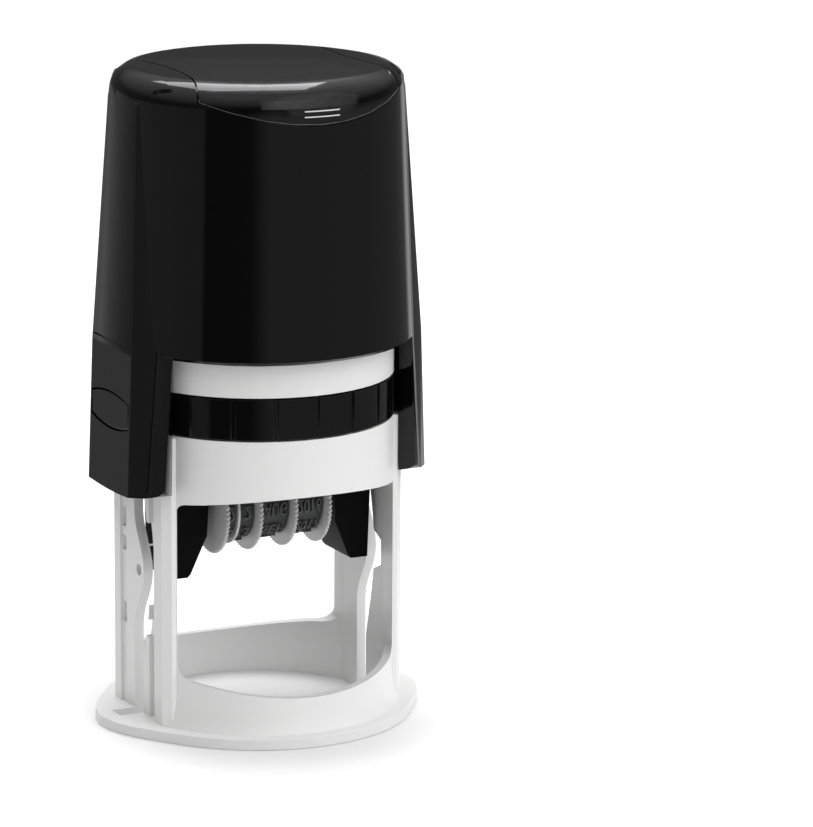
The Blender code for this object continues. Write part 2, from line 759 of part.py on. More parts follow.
def make_leg(side):
    top = CAP_TOP - LEG_TOP_DROP
    leg = drafted("leg", [(leg_outline(side, LEG_LOW_CORNERS), LEG_LOW),
                          (leg_outline(side, LEG_RIM_CORNERS), CAP_LOW),
                          (leg_outline(side, LEG_TOP_CORNERS), top)])
    corner = cap_corner()
    wide = LEG_LOW_CORNERS[0][0] + OVERRUN
    crown = [(0, top), (corner[0] + LEG_CROWN_OUT, top)]
    crown += arc((corner[0] + LEG_CROWN_OUT, top - CAP_CORNER), CAP_CORNER, 90, 0, 4)[1:]
    crown += [(wide, top - 2 * CAP_CORNER), (wide, LEG_LOW - OVERRUN), (0, LEG_LOW - OVERRUN)]
    keep_common(leg, turned("leg_crown", crown, CAP_STEPS))

    half = LEG_LOW_CORNERS[2][1]
    bow = [(half * i / 8 - half, LEG_LOW + LEG_BOW * (i / 8 - 1) ** 2) for i in range(17)]
    low_z = LEG_LOW + LEG_BOW
    inside = [point for point in bow if abs(point[0]) < half - LEG_CORNER]
    outline = inside + arc((half - LEG_CORNER, low_z + LEG_CORNER), LEG_CORNER, -80, 0, 4)
    outline += [(half + OVERRUN, PIVOT_Z + PAD_BAND), (half + OVERRUN, CAP_TOP + OVERRUN)]
    outline += [(-half - OVERRUN, CAP_TOP + OVERRUN), (-half - OVERRUN, PIVOT_Z + PAD_BAND)]
    outline += arc((LEG_CORNER - half, low_z + LEG_CORNER), LEG_CORNER, 180, 260, 4)
    return keep_common(leg, slab("leg_end", [outline], -wide, wide, FROM_SIDE))


def post_channel():
    """The room in the legs that the frame's side plates and posts run in."""
    x = POST_OUT + RUN_GAP
    y = POST_REACH + RUN_GAP
    chamfer = POST_CHAMFER + RUN_GAP / 3
    half = [(x, y - chamfer), (x - chamfer, y)]
    half += [(-a, b) for a, b in reversed(half)]
    outline = half + [(a, -b) for a, b in reversed(half)]
    return slab("post_channel", [outline], LEG_LOW - OVERRUN, POST_TOP + STROKE + SEAT_GAP)


def button_outline(grow):
    """Barrel shape seen from the side: straight ends, bowed top and bottom."""
    half = BUTTON_HALF + grow
    steps = 8
    upper = []
    for i in range(steps + 1):
        share = 2 * i / steps - 1
        upper.append((half * share, BUTTON_END + grow + (BUTTON_MIDDLE - BUTTON_END) * (1 - share ** 2)))
    points = [(y, BUTTON_Z + z) for y, z in upper]
    return points + [(y, BUTTON_Z - z) for y, z in reversed(upper)]


def side_slab(name, outlines, side, low, high):
    """Outlines in YZ, with the thickness given for the right side."""
    xs = sorted((side * low, side * high))
    return slab(name, outlines, xs[0], xs[1], FROM_SIDE)


def button_face():
    return leg_flat_x(BUTTON_Z)


def make_lock_button(side, name, material):
    face = button_face()
    flange_out = face - BUTTON_FLANGE_IN + BUTTON_FLANGE
    button = side_slab(name, [button_outline(0)], side, flange_out - BUTTON_FLANGE / 2, face)
    join(button, side_slab("button_flange", [button_outline(BUTTON_FLANGE_RIM)], side,
                           flange_out - BUTTON_FLANGE, flange_out))
    return piece(button, name, material, (side * face, 0, BUTTON_Z))


def cover_region(name, grow):
    """Where the clear cover lies: between its two side edges, and above its bowed lips."""
    low = CAP_TOP - COVER_LIP_BELOW - grow
    wide = CAP_LOW_R + OVERRUN
    steps = 12
    lip = []
    for i in range(steps + 1):
        x = wide * (2 * i / steps - 1)
        lip.append((x, low + COVER_LIP_RISE * (x / COVER_LIP_AT) ** 2))
    region = slab(name, [lip + [(wide, CAP_TOP + 2 * wide), (-wide, CAP_TOP + 2 * wide)]], -wide, wide,
                  FROM_FRONT)
    sides = []
    for i in range(steps + 1):
        y = wide * (2 * i / steps - 1)
        sides.append((COVER_HALF + grow + COVER_FLARE * (y / COVER_FLARE_AT) ** 2, y))
    sides += [(-x, y) for x, y in reversed(sides)]
    return keep_common(region, slab("cover_sides", [sides], CAP_LOW, CAP_TOP + wide))


def make_index_cover(material):
    cover = cap_skin("index_cover", 0)
    cut(cover, cap_skin("cover_inside", COVER))
    keep_common(cover, cover_region("cover_shape", 0))
    return piece(tidied(cover), "index_cover", material, (0, 0, CAP_TOP))


def card_block(name, grow, high):
    top = CAP_TOP - CAP_DOME - COVER - COVER_GAP
    return block(name, (-CARD_HALF_X - grow, -CARD_HALF_Y - grow, top - CARD - grow),
                 (CARD_HALF_X + grow, CARD_HALF_Y + grow, max(top, high)))


def make_cap(material):
    cap = cap_skin("cap", 0)
    join(cap, make_leg(1), make_leg(-1))
    recess = cover_region("cover_recess", COVER_GAP)
    cut(recess, cap_skin("recess_floor", COVER + COVER_GAP))
    cut(cap, recess)
    cut(cap, card_block("card_pocket", SEAT_GAP, CAP_TOP))
    cut(cap, cap_room())
    cut(cap, rod("cap_mouth", CAP_LIP_R, (0, 0, LEG_LOW - OVERRUN), (0, 0, CAP_LOW + 2 * CAP_LIP),
                 FINE_STEPS))
    face = button_face()
    step = face - BUTTON_FLANGE_IN + BUTTON_FLANGE + SEAT_GAP
    seam_half = LEG_RIM_CORNERS[0][1] - LEG_EDGE_ROUND
    seam_z = CAP_LOW + SEAM_RISE
    cut(tidied(cap), post_channel())
    for side in (1, -1):
        cut(cap, handed("crank_pocket", side, (PLATE_IN, -CRANK_POCKET_HALF, LEG_LOW - OVERRUN),
                        (CRANK_OUT + RUN_GAP, CRANK_POCKET_HALF, PIVOT_Z + CRANK_HUB_R + RUN_GAP)))
        cut(cap, rod("pivot_hole", PIVOT_R + SEAT_GAP, (side * PLATE_IN, 0, PIVOT_Z),
                     (side * (CRANK_IN + PIVOT_PIN_LENGTH + SEAT_GAP), 0, PIVOT_Z)))
        cut(cap, side_slab("button_pocket", [button_outline(BUTTON_FLANGE_RIM + RUN_GAP)], side,
                           PLATE_IN, step))
        cut(cap, side_slab("button_hole", [button_outline(RUN_GAP)], side, step - OVERRUN, face + OVERRUN))
        seam_x = leg_flat_x(CAP_LOW) - SEAM_DEPTH
        cut(cap, handed("seam", side, (seam_x, -seam_half, seam_z),
                        (seam_x + OVERRUN, seam_half, seam_z + SEAM_WIDTH)))
    return piece(tidied(cap), "cap_shell", material, (0, 0, CAP_LOW))


def make_pivot_pin(side, name, material):
    pin = rod(name, PIVOT_R, (side * CRANK_IN, 0, PIVOT_Z),
              (side * (CRANK_IN + PIVOT_PIN_LENGTH), 0, PIVOT_Z))
    return piece(pin, name, material, (side * CRANK_IN, 0, PIVOT_Z))


def make_return_spring(material):
    """Round wire wound up from the deck to the cap's roof, its end turns lying almost flat."""
    low = PAD_HIGH + DECK + SEAT_GAP + SPRING_WIRE_R
    high = CAP_TOP - CAP_ROOF - SEAT_GAP - SPRING_WIRE_R
    curve = bpy.data.curves.new("return_spring", "CURVE")
    curve.dimensions = "3D"
    curve.bevel_depth = SPRING_WIRE_R
    curve.bevel_resolution = SPRING_BEVEL_STEPS
    curve.use_fill_caps = True
    spline = curve.splines.new("POLY")
    count = SPRING_TURNS * SPRING_POINTS
    spline.points.add(count)
    for i, point in enumerate(spline.points):
        turn = i / SPRING_POINTS
        angle = 2 * math.pi * turn
        share = min(max((turn - SPRING_END_TURNS) / (SPRING_TURNS - 2 * SPRING_END_TURNS), 0.0), 1.0)
        flat = SPRING_WIRE_R * SPRING_END_RISE * (min(turn, SPRING_END_TURNS)
                                                  + max(turn - SPRING_TURNS + SPRING_END_TURNS, 0.0))
        rise = high - low - 2 * SPRING_WIRE_R * SPRING_END_RISE * SPRING_END_TURNS
        point.co = (SPRING_R * math.cos(angle), SPRING_R * math.sin(angle), low + flat + rise * share, 1)
    drawn = bpy.data.objects.new("return_spring", curve)
    CUTTERS.objects.link(drawn)
    bpy.context.view_layer.update()
    graph = bpy.context.evaluated_depsgraph_get()
    mesh = bpy.data.meshes.new_from_object(drawn.evaluated_get(graph))
    bpy.data.objects.remove(drawn, do_unlink=True)
    return piece(object_from("return_spring", mesh), "return_spring", material, (0, 0, PAD_HIGH + DECK), 60)


def make_pad_tray(material):
    """The cassette: a flat plate between the side plates, a curved ribbed front that hangs a little
    lower, a tab at the back, and the felt's round pocket underneath."""
    tray = slab("pad_tray", [circle(TRAY_R, FINE_STEPS)], TRAY_LOW, TRAY_HIGH)
    keep_common(tray, block("tray_width", (-TRAY_HALF, -TRAY_FRONT_R, PAD_LOW),
                            (TRAY_HALF, TRAY_R, PAD_HIGH)))
    front = slab("tray_front", [circle(TRAY_FRONT_R, FINE_STEPS),
                                circle(TRAY_FRONT_R - TRAY_FRONT_WALL, FINE_STEPS)],
                 PAD_LOW + RUN_GAP, TRAY_HIGH)
    keep_common(front, block("tray_front_width",
                             (-TRAY_FRONT_HALF, -TRAY_FRONT_R - OVERRUN, PAD_LOW - OVERRUN),
                             (TRAY_FRONT_HALF, -TRAY_FRONT_Y, PAD_HIGH + OVERRUN)))
    bridge = slab("tray_bridge", [circle(TRAY_FRONT_R - TRAY_FRONT_WALL / 2, FINE_STEPS)],
                  TRAY_LOW, TRAY_HIGH)
    keep_common(bridge, block("bridge_width", (-TRAY_HALF, -TRAY_FRONT_R, PAD_LOW),
                              (TRAY_HALF, -TRAY_FRONT_Y, PAD_HIGH)))
    tab = slab("tray_tab", [circle(WALL_R, FINE_STEPS)], TRAY_LOW, TRAY_HIGH)
    tab_half = PUSH_WINDOW_HALF - RUN_GAP
    keep_common(tab, block("tab_width", (-tab_half, WALL_IN / 2, PAD_LOW),
                           (tab_half, TRAY_FRONT_R, PAD_HIGH)))
    join(tray, bridge, front, tab)
    cut(tray, rod("felt_pocket", FELT_R + FELT_POCKET, (0, 0, TRAY_LOW - OVERRUN),
                  (0, 0, FELT_Z + FELT + SEAT_GAP), ROUND_STEPS))
    for i in range(GRIP_COUNT):
        turn = GRIP_STEP_DEG * (i - (GRIP_COUNT - 1) / 2)
        groove = block("grip_groove", (-GRIP_WIDTH / 2, -TRAY_FRONT_R - OVERRUN, PAD_LOW - OVERRUN),
                       (GRIP_WIDTH / 2, GRIP_DEPTH - TRAY_FRONT_R, PAD_HIGH + OVERRUN))
        groove.data.transform(Matrix.Rotation(math.radians(turn), 4, "Z"))
        cut(tray, groove)
    return piece(tidied(tray), "pad_tray", material)


def height(above_pivot):
    """World height of something on the carrier, at rest."""
    return PIVOT_Z + above_pivot


def cheek_neck_z():
    return height(-CRANK)


def make_plate_carrier(material):
    """The flipping carrier: a disc with a raised hub that the time ring turns on, and two cheeks
    that hold the date wheels' axle and take the cranks' necks."""
    disc_top = DISC_FROM_PIVOT + DISC
    hub_top = disc_top + HUB
    carrier = turned("plate_carrier", [(0, height(hub_top)), (HUB_R, height(hub_top)),
                                       (HUB_R, height(disc_top)),
                                       (DISC_R, height(disc_top)), (DISC_R, height(DISC_FROM_PIVOT)),
                                       (0, height(DISC_FROM_PIVOT))], ROUND_STEPS)
    inner = CHEEK_OUT - CHEEK_THICK
    low = height(-CHEEK_DROP)
    top = height(disc_top - DISC / 2)
    for side in (1, -1):
        outline = [(CHEEK_OUT, top), (CHEEK_OUT, low), (inner + CHEEK_TOE, low), (inner, low + CHEEK_TOE),
                   (inner - CHEEK_GUSSET + CHEEK_TOE, low + CHEEK_GUSSET_LOW), (inner - CHEEK_GUSSET, top)]
        cheek = slab("cheek", [[(side * x, z) for x, z in outline]], -CHEEK_HALF, CHEEK_HALF, FROM_FRONT)
        shape = [(-CHEEK_HALF, top + OVERRUN), (-CHEEK_HALF, PIVOT_Z), (-CHEEK_LOW_HALF, low - OVERRUN),
                 (CHEEK_LOW_HALF, low - OVERRUN), (CHEEK_HALF, PIVOT_Z), (CHEEK_HALF, top + OVERRUN)]
        keep_common(cheek, slab("cheek_taper", [shape], -CHEEK_OUT - OVERRUN, CHEEK_OUT + OVERRUN, FROM_SIDE))
        join(carrier, cheek)
    platen_x = platen_half_length() + SEAT_GAP
    cut(carrier, block("date_hole", (-WINDOW_X, DATE_Y - DATE_HOLE_HALF, height(0)),
                       (WINDOW_X, DATE_Y + DATE_HOLE_HALF, height(hub_top) + OVERRUN)))
    cut(carrier, block("platen_seat",
                       (-platen_x, DATE_Y - PLATEN_HALF - SEAT_GAP,
                        height(platen_top() - PLATEN_DEPTH) - SEAT_GAP),
                       (platen_x, DATE_Y + PLATEN_HALF + SEAT_GAP, height(hub_top) + OVERRUN)))
    axle_end = axle_half_length() + SEAT_GAP
    cut(carrier, rod("axle_hole", AXLE_R + SEAT_GAP, (-axle_end, DATE_Y, wheel_z()),
                     (axle_end, DATE_Y, wheel_z())))
    for side in (1, -1):
        cut(carrier, rod("neck_hole", NECK_R + SEAT_GAP,
                         (side * (CHEEK_OUT - NECK_DEPTH - SEAT_GAP), 0, cheek_neck_z()),
                         (side * (CHEEK_OUT + OVERRUN), 0, cheek_neck_z())))
    return piece(tidied(carrier), "plate_carrier", material, (0, 0, PIVOT_Z))


def make_crank(side, name, material):
    """A link that turns on the pivot pin, with a neck through the side plate's slot."""
    arm = slab(name, [wrapped(arc((0, PIVOT_Z), CRANK_HUB_R, 0, 360, SMALL_STEPS)
                              + arc((0, cheek_neck_z()), CRANK_TIP_R, 0, 360, SMALL_STEPS))],
               *sorted((side * CRANK_IN, side * CRANK_OUT)), FROM_SIDE)
    join(arm, rod("neck", NECK_R, (side * (CRANK_OUT - CRANK_PLATE / 2), 0, cheek_neck_z()),
                  (side * (CHEEK_OUT - NECK_DEPTH), 0, cheek_neck_z())))
    cut(arm, rod("crank_bore", PIVOT_R + RUN_FIT, (side * (CRANK_IN - OVERRUN), 0, PIVOT_Z),
                 (side * (CRANK_OUT + OVERRUN), 0, PIVOT_Z)))
    return piece(tidied(arm), name, material, (side * CRANK_IN, 0, PIVOT_Z))


def toothed(radius, depth, teeth):
    points = []
    for i in range(2 * teeth):
        r = radius - depth * (i % 2)
        angle = math.pi * i / teeth
        points.append((r * math.cos(angle), r * math.sin(angle)))
    return points


def make_time_ring(material):
    """Toothed ring that turns on the hub, with a rim on each side of the numbered rubber ring."""
    low = DISC_FROM_PIVOT + DISC + SEAT_GAP
    flange_top = low + RING_FLANGE
    rim_top = FACE_REACH - RING_RIM_DROP
    ring = slab("time_ring", [toothed(RING_R, RING_TOOTH, RING_TEETH), circle(RING_IN, ROUND_STEPS)],
                height(low), height(flange_top))
    for outer, inner in ((RING_IN + RING_RIM, RING_IN), (RING_EDGE_R, RING_EDGE_R - RING_EDGE)):
        rim = slab("ring_rim", [circle(outer, ROUND_STEPS), circle(inner, ROUND_STEPS)],
                   height(flange_top - RING_FLANGE / 2), height(rim_top))
        join(ring, rim)
    return piece(tidied(ring), "time_ring", material, (0, 0, PIVOT_Z))


def make_time_die(material):
    low = DISC_FROM_PIVOT + DISC + SEAT_GAP + RING_FLANGE + DIE_SEAT
    die = slab("time_die", [circle(DIE_OUT, ROUND_STEPS), circle(DIE_IN, ROUND_STEPS)], height(low), FACE_Z)
    return piece(die, "time_die", material, (0, 0, PIVOT_Z))


def face_plate_low():
    return DISC_FROM_PIVOT + DISC + HUB + SEAT_GAP


def make_face_plate(material):
    low = face_plate_low()
    window = [(-WINDOW_X, DATE_Y - WINDOW_Y), (WINDOW_X, DATE_Y - WINDOW_Y),
              (WINDOW_X, DATE_Y + WINDOW_Y), (-WINDOW_X, DATE_Y + WINDOW_Y)]
    plate = slab("face_plate", [circle(FACE_PLATE_R, ROUND_STEPS), window], height(low),
                 height(low + FACE_PLATE))
    return piece(plate, "face_plate", material, (0, 0, PIVOT_Z))


def make_arrow_plate(material):
    outline = [(-ARROW_HALF, ARROW_Y), (ARROW_HALF, ARROW_Y), (ARROW_HALF, ARROW_Y + ARROW_SHORT),
               (0, ARROW_Y + ARROW_LONG), (-ARROW_HALF, ARROW_Y + ARROW_SHORT)]
    plate = slab("arrow_plate", [outline], height(face_plate_low() + FACE_PLATE + SEAT_GAP), FACE_Z)
    return piece(plate, "arrow_plate", material, (0, 0, PIVOT_Z))


def wheel_z():
    return height(-WHEEL_BELOW)


def axle_half_length():
    return CHEEK_OUT - AXLE_COVERED


def disc_middles():
    """Where each disc's middle is along the axle, from the left: the tens wheel, the thin disc at the
    end of its drum, then the units, month and year wheels."""
    middles = [FIRST_DISC_X]
    for step in DISC_SPACING:
        middles.append(middles[-1] + step)
    return middles


def disc_half(index):
    return (THIN_DISC if index == 1 else WHEEL_DISC) / 2


def make_wheel(index, name, material):
    """A knurled disc with the drum that its band runs on. The tens disc is left of its drum, and the
    others are right of theirs."""
    middles = disc_middles()
    if index == 0:
        middle = middles[index]
        drum_end = middles[index + 1] - disc_half(index + 1) - RUN_GAP
    else:
        middle = middles[index + 1]
        drum_end = middles[index] + disc_half(index) + RUN_GAP
    half = WHEEL_DISC / 2
    wheel = slab(name, [toothed(DISC_WHEEL_R, WHEEL_TOOTH, WHEEL_TEETH)], middle - half, middle + half,
                 FROM_SIDE)
    low, high = sorted((middle, drum_end))
    join(wheel, rod("drum", DRUM_R, (low, 0, 0), (high, 0, 0), SMALL_STEPS))
    cut(wheel, rod("bore", AXLE_R + RUN_FIT, (low - OVERRUN, 0, 0), (high + OVERRUN, 0, 0), BORE_STEPS))
    wheel.data.transform(Matrix.Translation((0, DATE_Y, wheel_z())))
    return piece(tidied(wheel), name, material, (middle, DATE_Y, wheel_z()))


def make_end_disc(material):
    """The thin plain disc at the end of the tens drum, just proud of the bands on either side."""
    middle = disc_middles()[1]
    radius = DRUM_R + SEAT_GAP + BAND + TYPE_HEIGHT + THIN_DISC_PROUD
    disc = slab("end_disc", [circle(radius, ROUND_STEPS), circle(AXLE_R + RUN_FIT, BORE_STEPS)],
                middle - THIN_DISC / 2, middle + THIN_DISC / 2, FROM_SIDE)
    disc.data.transform(Matrix.Translation((0, DATE_Y, wheel_z())))
    return piece(disc, "end_disc", material, (middle, DATE_Y, wheel_z()))


def make_axle(material):
    half = axle_half_length()
    axle = rod("wheel_axle", AXLE_R, (-half, DATE_Y, wheel_z()), (half, DATE_Y, wheel_z()), BORE_STEPS)
    return piece(axle, "wheel_axle", material, (0, DATE_Y, wheel_z()))


def platen_top():
    return FACE_REACH - TYPE_HEIGHT - BAND - SEAT_GAP


def platen_half_length():
    return WINDOW_X + PLATEN_END


def make_platen(material):
    half = platen_half_length()
    top = height(platen_top())
    outline = [(DATE_Y - PLATEN_HALF, top - PLATEN_DEPTH), (DATE_Y + PLATEN_HALF, top - PLATEN_DEPTH)]
    outline += arc((DATE_Y + PLATEN_HALF - PLATEN_ROUND, top - PLATEN_ROUND), PLATEN_ROUND, 0, 90, 3)
    outline += arc((DATE_Y - PLATEN_HALF + PLATEN_ROUND, top - PLATEN_ROUND), PLATEN_ROUND, 90, 180, 3)
    platen = slab("band_platen", [outline], -half, half, FROM_SIDE)
    for side in (1, -1):
        cut(platen, handed("platen_step", side,
                           (WINDOW_X - SEAT_GAP, DATE_Y - DRUM_R, height(face_plate_low()) - SEAT_GAP),
                           (half + OVERRUN, DATE_Y + DRUM_R, FACE_Z)))
    return piece(platen, "band_platen", material, (0, DATE_Y, height(platen_top() - PLATEN_DEPTH)))


def wrapped(points):
    """The outline of a string pulled tight round the points."""
    points = sorted(set(points))
    halves = []
    for run in (points, points[::-1]):
        chain = []
        for point in run:
            while len(chain) > 1 and ((chain[-1][0] - chain[-2][0]) * (point[1] - chain[-2][1])
                                      - (chain[-1][1] - chain[-2][1]) * (point[0] - chain[-2][0])) <= 0:
                chain.pop()
            chain.append(point)
        halves += chain[:-1]
    return halves


def band_path(grow):
    """A band's outline in YZ round its drum and over the platen, this far outside them."""
    points = arc((DATE_Y, wheel_z()), DRUM_R + grow, 0, 360, SMALL_STEPS)
    for sign in (1, -1):
        centre = (DATE_Y + sign * (PLATEN_HALF - PLATEN_ROUND), height(platen_top()) - PLATEN_ROUND)
        points += arc(centre, PLATEN_ROUND + grow, 90 - 90 * sign, 90, 3)
    return wrapped(points)


def along(outline, distance):
    """The point this far along a closed outline, and the direction out of it there."""
    count = len(outline)
    i = 0
    while True:
        start, end = Vector(outline[i % count]), Vector(outline[(i + 1) % count])
        length = (end - start).length
        if distance <= length or i > 2 * count:
            way = (end - start) / length
            return start + way * distance, Vector((way.y, -way.x))
        distance -= length
        i += 1


def make_band(index, name, material):
    """A rubber band with raised blocks of type. The block on the platen lies flat in the face."""
    middles = disc_middles()
    low_x = middles[index] + disc_half(index) + SEAT_GAP
    high_x = middles[index + 1] - disc_half(index + 1) - SEAT_GAP
    base = band_path(SEAT_GAP + BAND)
    total = sum((Vector(base[i]) - Vector(base[i - 1])).length for i in range(len(base)))
    pitch = total / TYPE_COUNT
    outline = []
    for i in range(TYPE_COUNT):
        first, last = pitch * i + TYPE_GAP / 2, pitch * (i + 1) - TYPE_GAP / 2
        for share, raised in ((0, 0), (0, 1), (0.5, 1), (1, 1), (1, 0)):
            point, out = along(base, first + (last - first) * share)
            outline.append(tuple(point + out * TYPE_HEIGHT * raised))
    band = slab(name, [outline], low_x, high_x, FROM_SIDE)
    top = FACE_Z
    cut(band, block("face_level", (low_x - OVERRUN, DATE_Y - DRUM_R, top - TYPE_HEIGHT),
                    (high_x + OVERRUN, DATE_Y + DRUM_R, top + OVERRUN)))
    join(band, block("type_face", (low_x, DATE_Y - TYPE_FACE_HALF, top - TYPE_HEIGHT - BAND / 2),
                     (high_x, DATE_Y + TYPE_FACE_HALF, top)))
    cut(band, slab("band_inside", [band_path(SEAT_GAP)], low_x - OVERRUN, high_x + OVERRUN, FROM_SIDE))
    return piece(tidied(band), name, material, (low_x, DATE_Y, wheel_z()))


WHITE = finish("white_plastic", (0.86, 0.86, 0.86), 0.35)
RUBBER_FEET = finish("rubber_feet", (0.05, 0.05, 0.055), 0.7)
make_base_frame(WHITE)
make_foot_pads(RUBBER_FEET)

BLACK = finish("black_plastic", (0.02, 0.02, 0.02), 0.2)
CLEAR = finish("smoky_clear", (0.05, 0.05, 0.055), 0.1)
CARD_BLACK = finish("card", (0.06, 0.06, 0.06), 0.5)
STEEL = finish("steel", (0.6, 0.6, 0.6), 0.3, 1.0)
make_cap(BLACK)
make_index_cover(CLEAR)
piece(card_block("index_card", 0.0, 0.0), "index_card", CARD_BLACK)
for side, hand in ((1, "right"), (-1, "left")):
    make_lock_button(side, f"lock_button_{hand}", BLACK)
    make_pivot_pin(side, f"pivot_pin_{hand}", BLACK)
make_return_spring(STEEL)
make_pad_tray(BLACK)
FELT_GREY = finish("felt", (0.12, 0.12, 0.13), 0.9)
piece(rod("ink_felt", FELT_R, (0, 0, FELT_Z), (0, 0, FELT_Z + FELT), ROUND_STEPS), "ink_felt", FELT_GREY,
      (0, 0, FELT_Z))
make_plate_carrier(BLACK)
for side, hand in ((1, "right"), (-1, "left")):
    make_crank(side, f"crank_{hand}", BLACK)
RED = finish("red_plastic", (0.58, 0.06, 0.05), 0.4)
DIE_RUBBER = finish("die_rubber", (0.21, 0.27, 0.30), 0.6)
DARK = finish("dark_plastic", (0.03, 0.03, 0.035), 0.4)
PALE = finish("pale_rubber", (0.6, 0.62, 0.6), 0.6)
WHEEL_GREY = finish("wheel_plastic", (0.5, 0.5, 0.5), 0.4)
BAND_RUBBER = finish("band_rubber", (0.25, 0.30, 0.33), 0.6)
make_time_ring(RED)
make_time_die(DIE_RUBBER)
make_face_plate(DARK)
make_arrow_plate(PALE)
make_axle(STEEL)
make_platen(DARK)
for index, name in enumerate(WHEEL_NAMES):
    make_wheel(index, f"wheel_{name}", WHEEL_GREY)
    make_band(index, f"date_band_{name}", BAND_RUBBER)
make_end_disc(WHEEL_GREY)
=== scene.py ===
import math

import bmesh
import bpy
import numpy as np
from mathutils import Matrix, Vector
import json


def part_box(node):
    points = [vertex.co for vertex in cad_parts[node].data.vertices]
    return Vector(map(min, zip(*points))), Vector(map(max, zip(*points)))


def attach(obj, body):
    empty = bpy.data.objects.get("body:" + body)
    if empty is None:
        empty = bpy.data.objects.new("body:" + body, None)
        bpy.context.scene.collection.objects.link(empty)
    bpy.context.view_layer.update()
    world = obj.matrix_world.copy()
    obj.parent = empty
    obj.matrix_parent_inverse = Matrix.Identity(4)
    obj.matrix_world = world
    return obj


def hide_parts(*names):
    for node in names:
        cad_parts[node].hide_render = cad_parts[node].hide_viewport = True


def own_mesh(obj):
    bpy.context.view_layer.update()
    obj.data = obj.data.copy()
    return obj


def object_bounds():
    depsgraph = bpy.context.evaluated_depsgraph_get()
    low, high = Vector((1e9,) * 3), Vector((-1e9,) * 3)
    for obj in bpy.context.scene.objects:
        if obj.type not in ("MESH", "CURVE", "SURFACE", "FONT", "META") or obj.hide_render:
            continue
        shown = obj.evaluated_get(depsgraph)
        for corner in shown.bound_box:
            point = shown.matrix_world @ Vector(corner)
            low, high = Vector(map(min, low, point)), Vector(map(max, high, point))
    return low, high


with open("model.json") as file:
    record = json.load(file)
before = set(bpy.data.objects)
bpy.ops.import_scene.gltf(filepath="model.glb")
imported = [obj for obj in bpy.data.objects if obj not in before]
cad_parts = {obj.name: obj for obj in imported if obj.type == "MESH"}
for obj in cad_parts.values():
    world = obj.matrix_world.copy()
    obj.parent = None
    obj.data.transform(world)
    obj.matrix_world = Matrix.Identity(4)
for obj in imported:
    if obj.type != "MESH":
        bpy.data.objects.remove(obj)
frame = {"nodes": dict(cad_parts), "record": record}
cadLow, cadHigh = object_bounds()
nodes = frame["nodes"]
bodies = frame["record"]["behaviour"]["bodies"]
bodyOf = {node: body for body, members in bodies.items() for node in members}
slotOf = {entry["node"]: entry["material_slot"] for entry in frame["record"]["subparts"]}
tiny = 1e-9  # keeps a division by a radius off zero
print("frame loaded:", len(nodes), "nodes")


# Shader groups, each built once

def newGroup(name, inputs, outputs):
    group = bpy.data.node_groups.new(name, "ShaderNodeTree")
    for label, kind, value in inputs:
        socket = group.interface.new_socket(label, in_out="INPUT", socket_type=kind)
        socket.default_value = value
    for label, kind in outputs:
        group.interface.new_socket(label, in_out="OUTPUT", socket_type=kind)
    return group, group.nodes.new("NodeGroupInput"), group.nodes.new("NodeGroupOutput")


def newMaterial(name):
    material = bpy.data.materials.new(name)
    material.use_nodes = True
    return material, material.node_tree


def link(tree, source, target):
    tree.links.new(source, target)


def mathNode(tree, operation, first, second):
    node = tree.nodes.new("ShaderNodeMath")
    node.operation = operation
    for socket, value in zip(node.inputs, (first, second)):
        if isinstance(value, (int, float)):
            socket.default_value = value
        else:
            link(tree, value, socket)
    return node.outputs[0]


def noiseNode(tree, vector, scale, detail, roughness):
    node = tree.nodes.new("ShaderNodeTexNoise")
    link(tree, vector, node.inputs["Vector"])
    link(tree, scale, node.inputs["Scale"])
    node.inputs["Detail"].default_value = detail
    node.inputs["Roughness"].default_value = roughness
    return node.outputs["Fac"]


def rampNode(tree, value, start, end, atStart, atEnd):
    # A straight run between two values, held level before its start and after its end
    node = tree.nodes.new("ShaderNodeMapRange")
    link(tree, value, node.inputs["Value"])
    for label, number in (("From Min", start), ("From Max", end),
                          ("To Min", atStart), ("To Max", atEnd)):
        node.inputs[label].default_value = number
    return node.outputs[0]


# Each noise of the moulded skin as its detail and its roughness
skinNoises = {"patch": (3.0, 0.6), "peel": (2.0, 0.5), "middle": 0.5}

# What a finish has where its entry in the list of looks says nothing else
plainLook = {"spread": 0.06, "peelScale": 900.0, "patchScale": 60.0, "bump": 0.1,
             "bumpDistance": 0.00003, "specular": 0.5, "metallic": 0.0, "ior": 1.5,
             "transmission": 0.0}


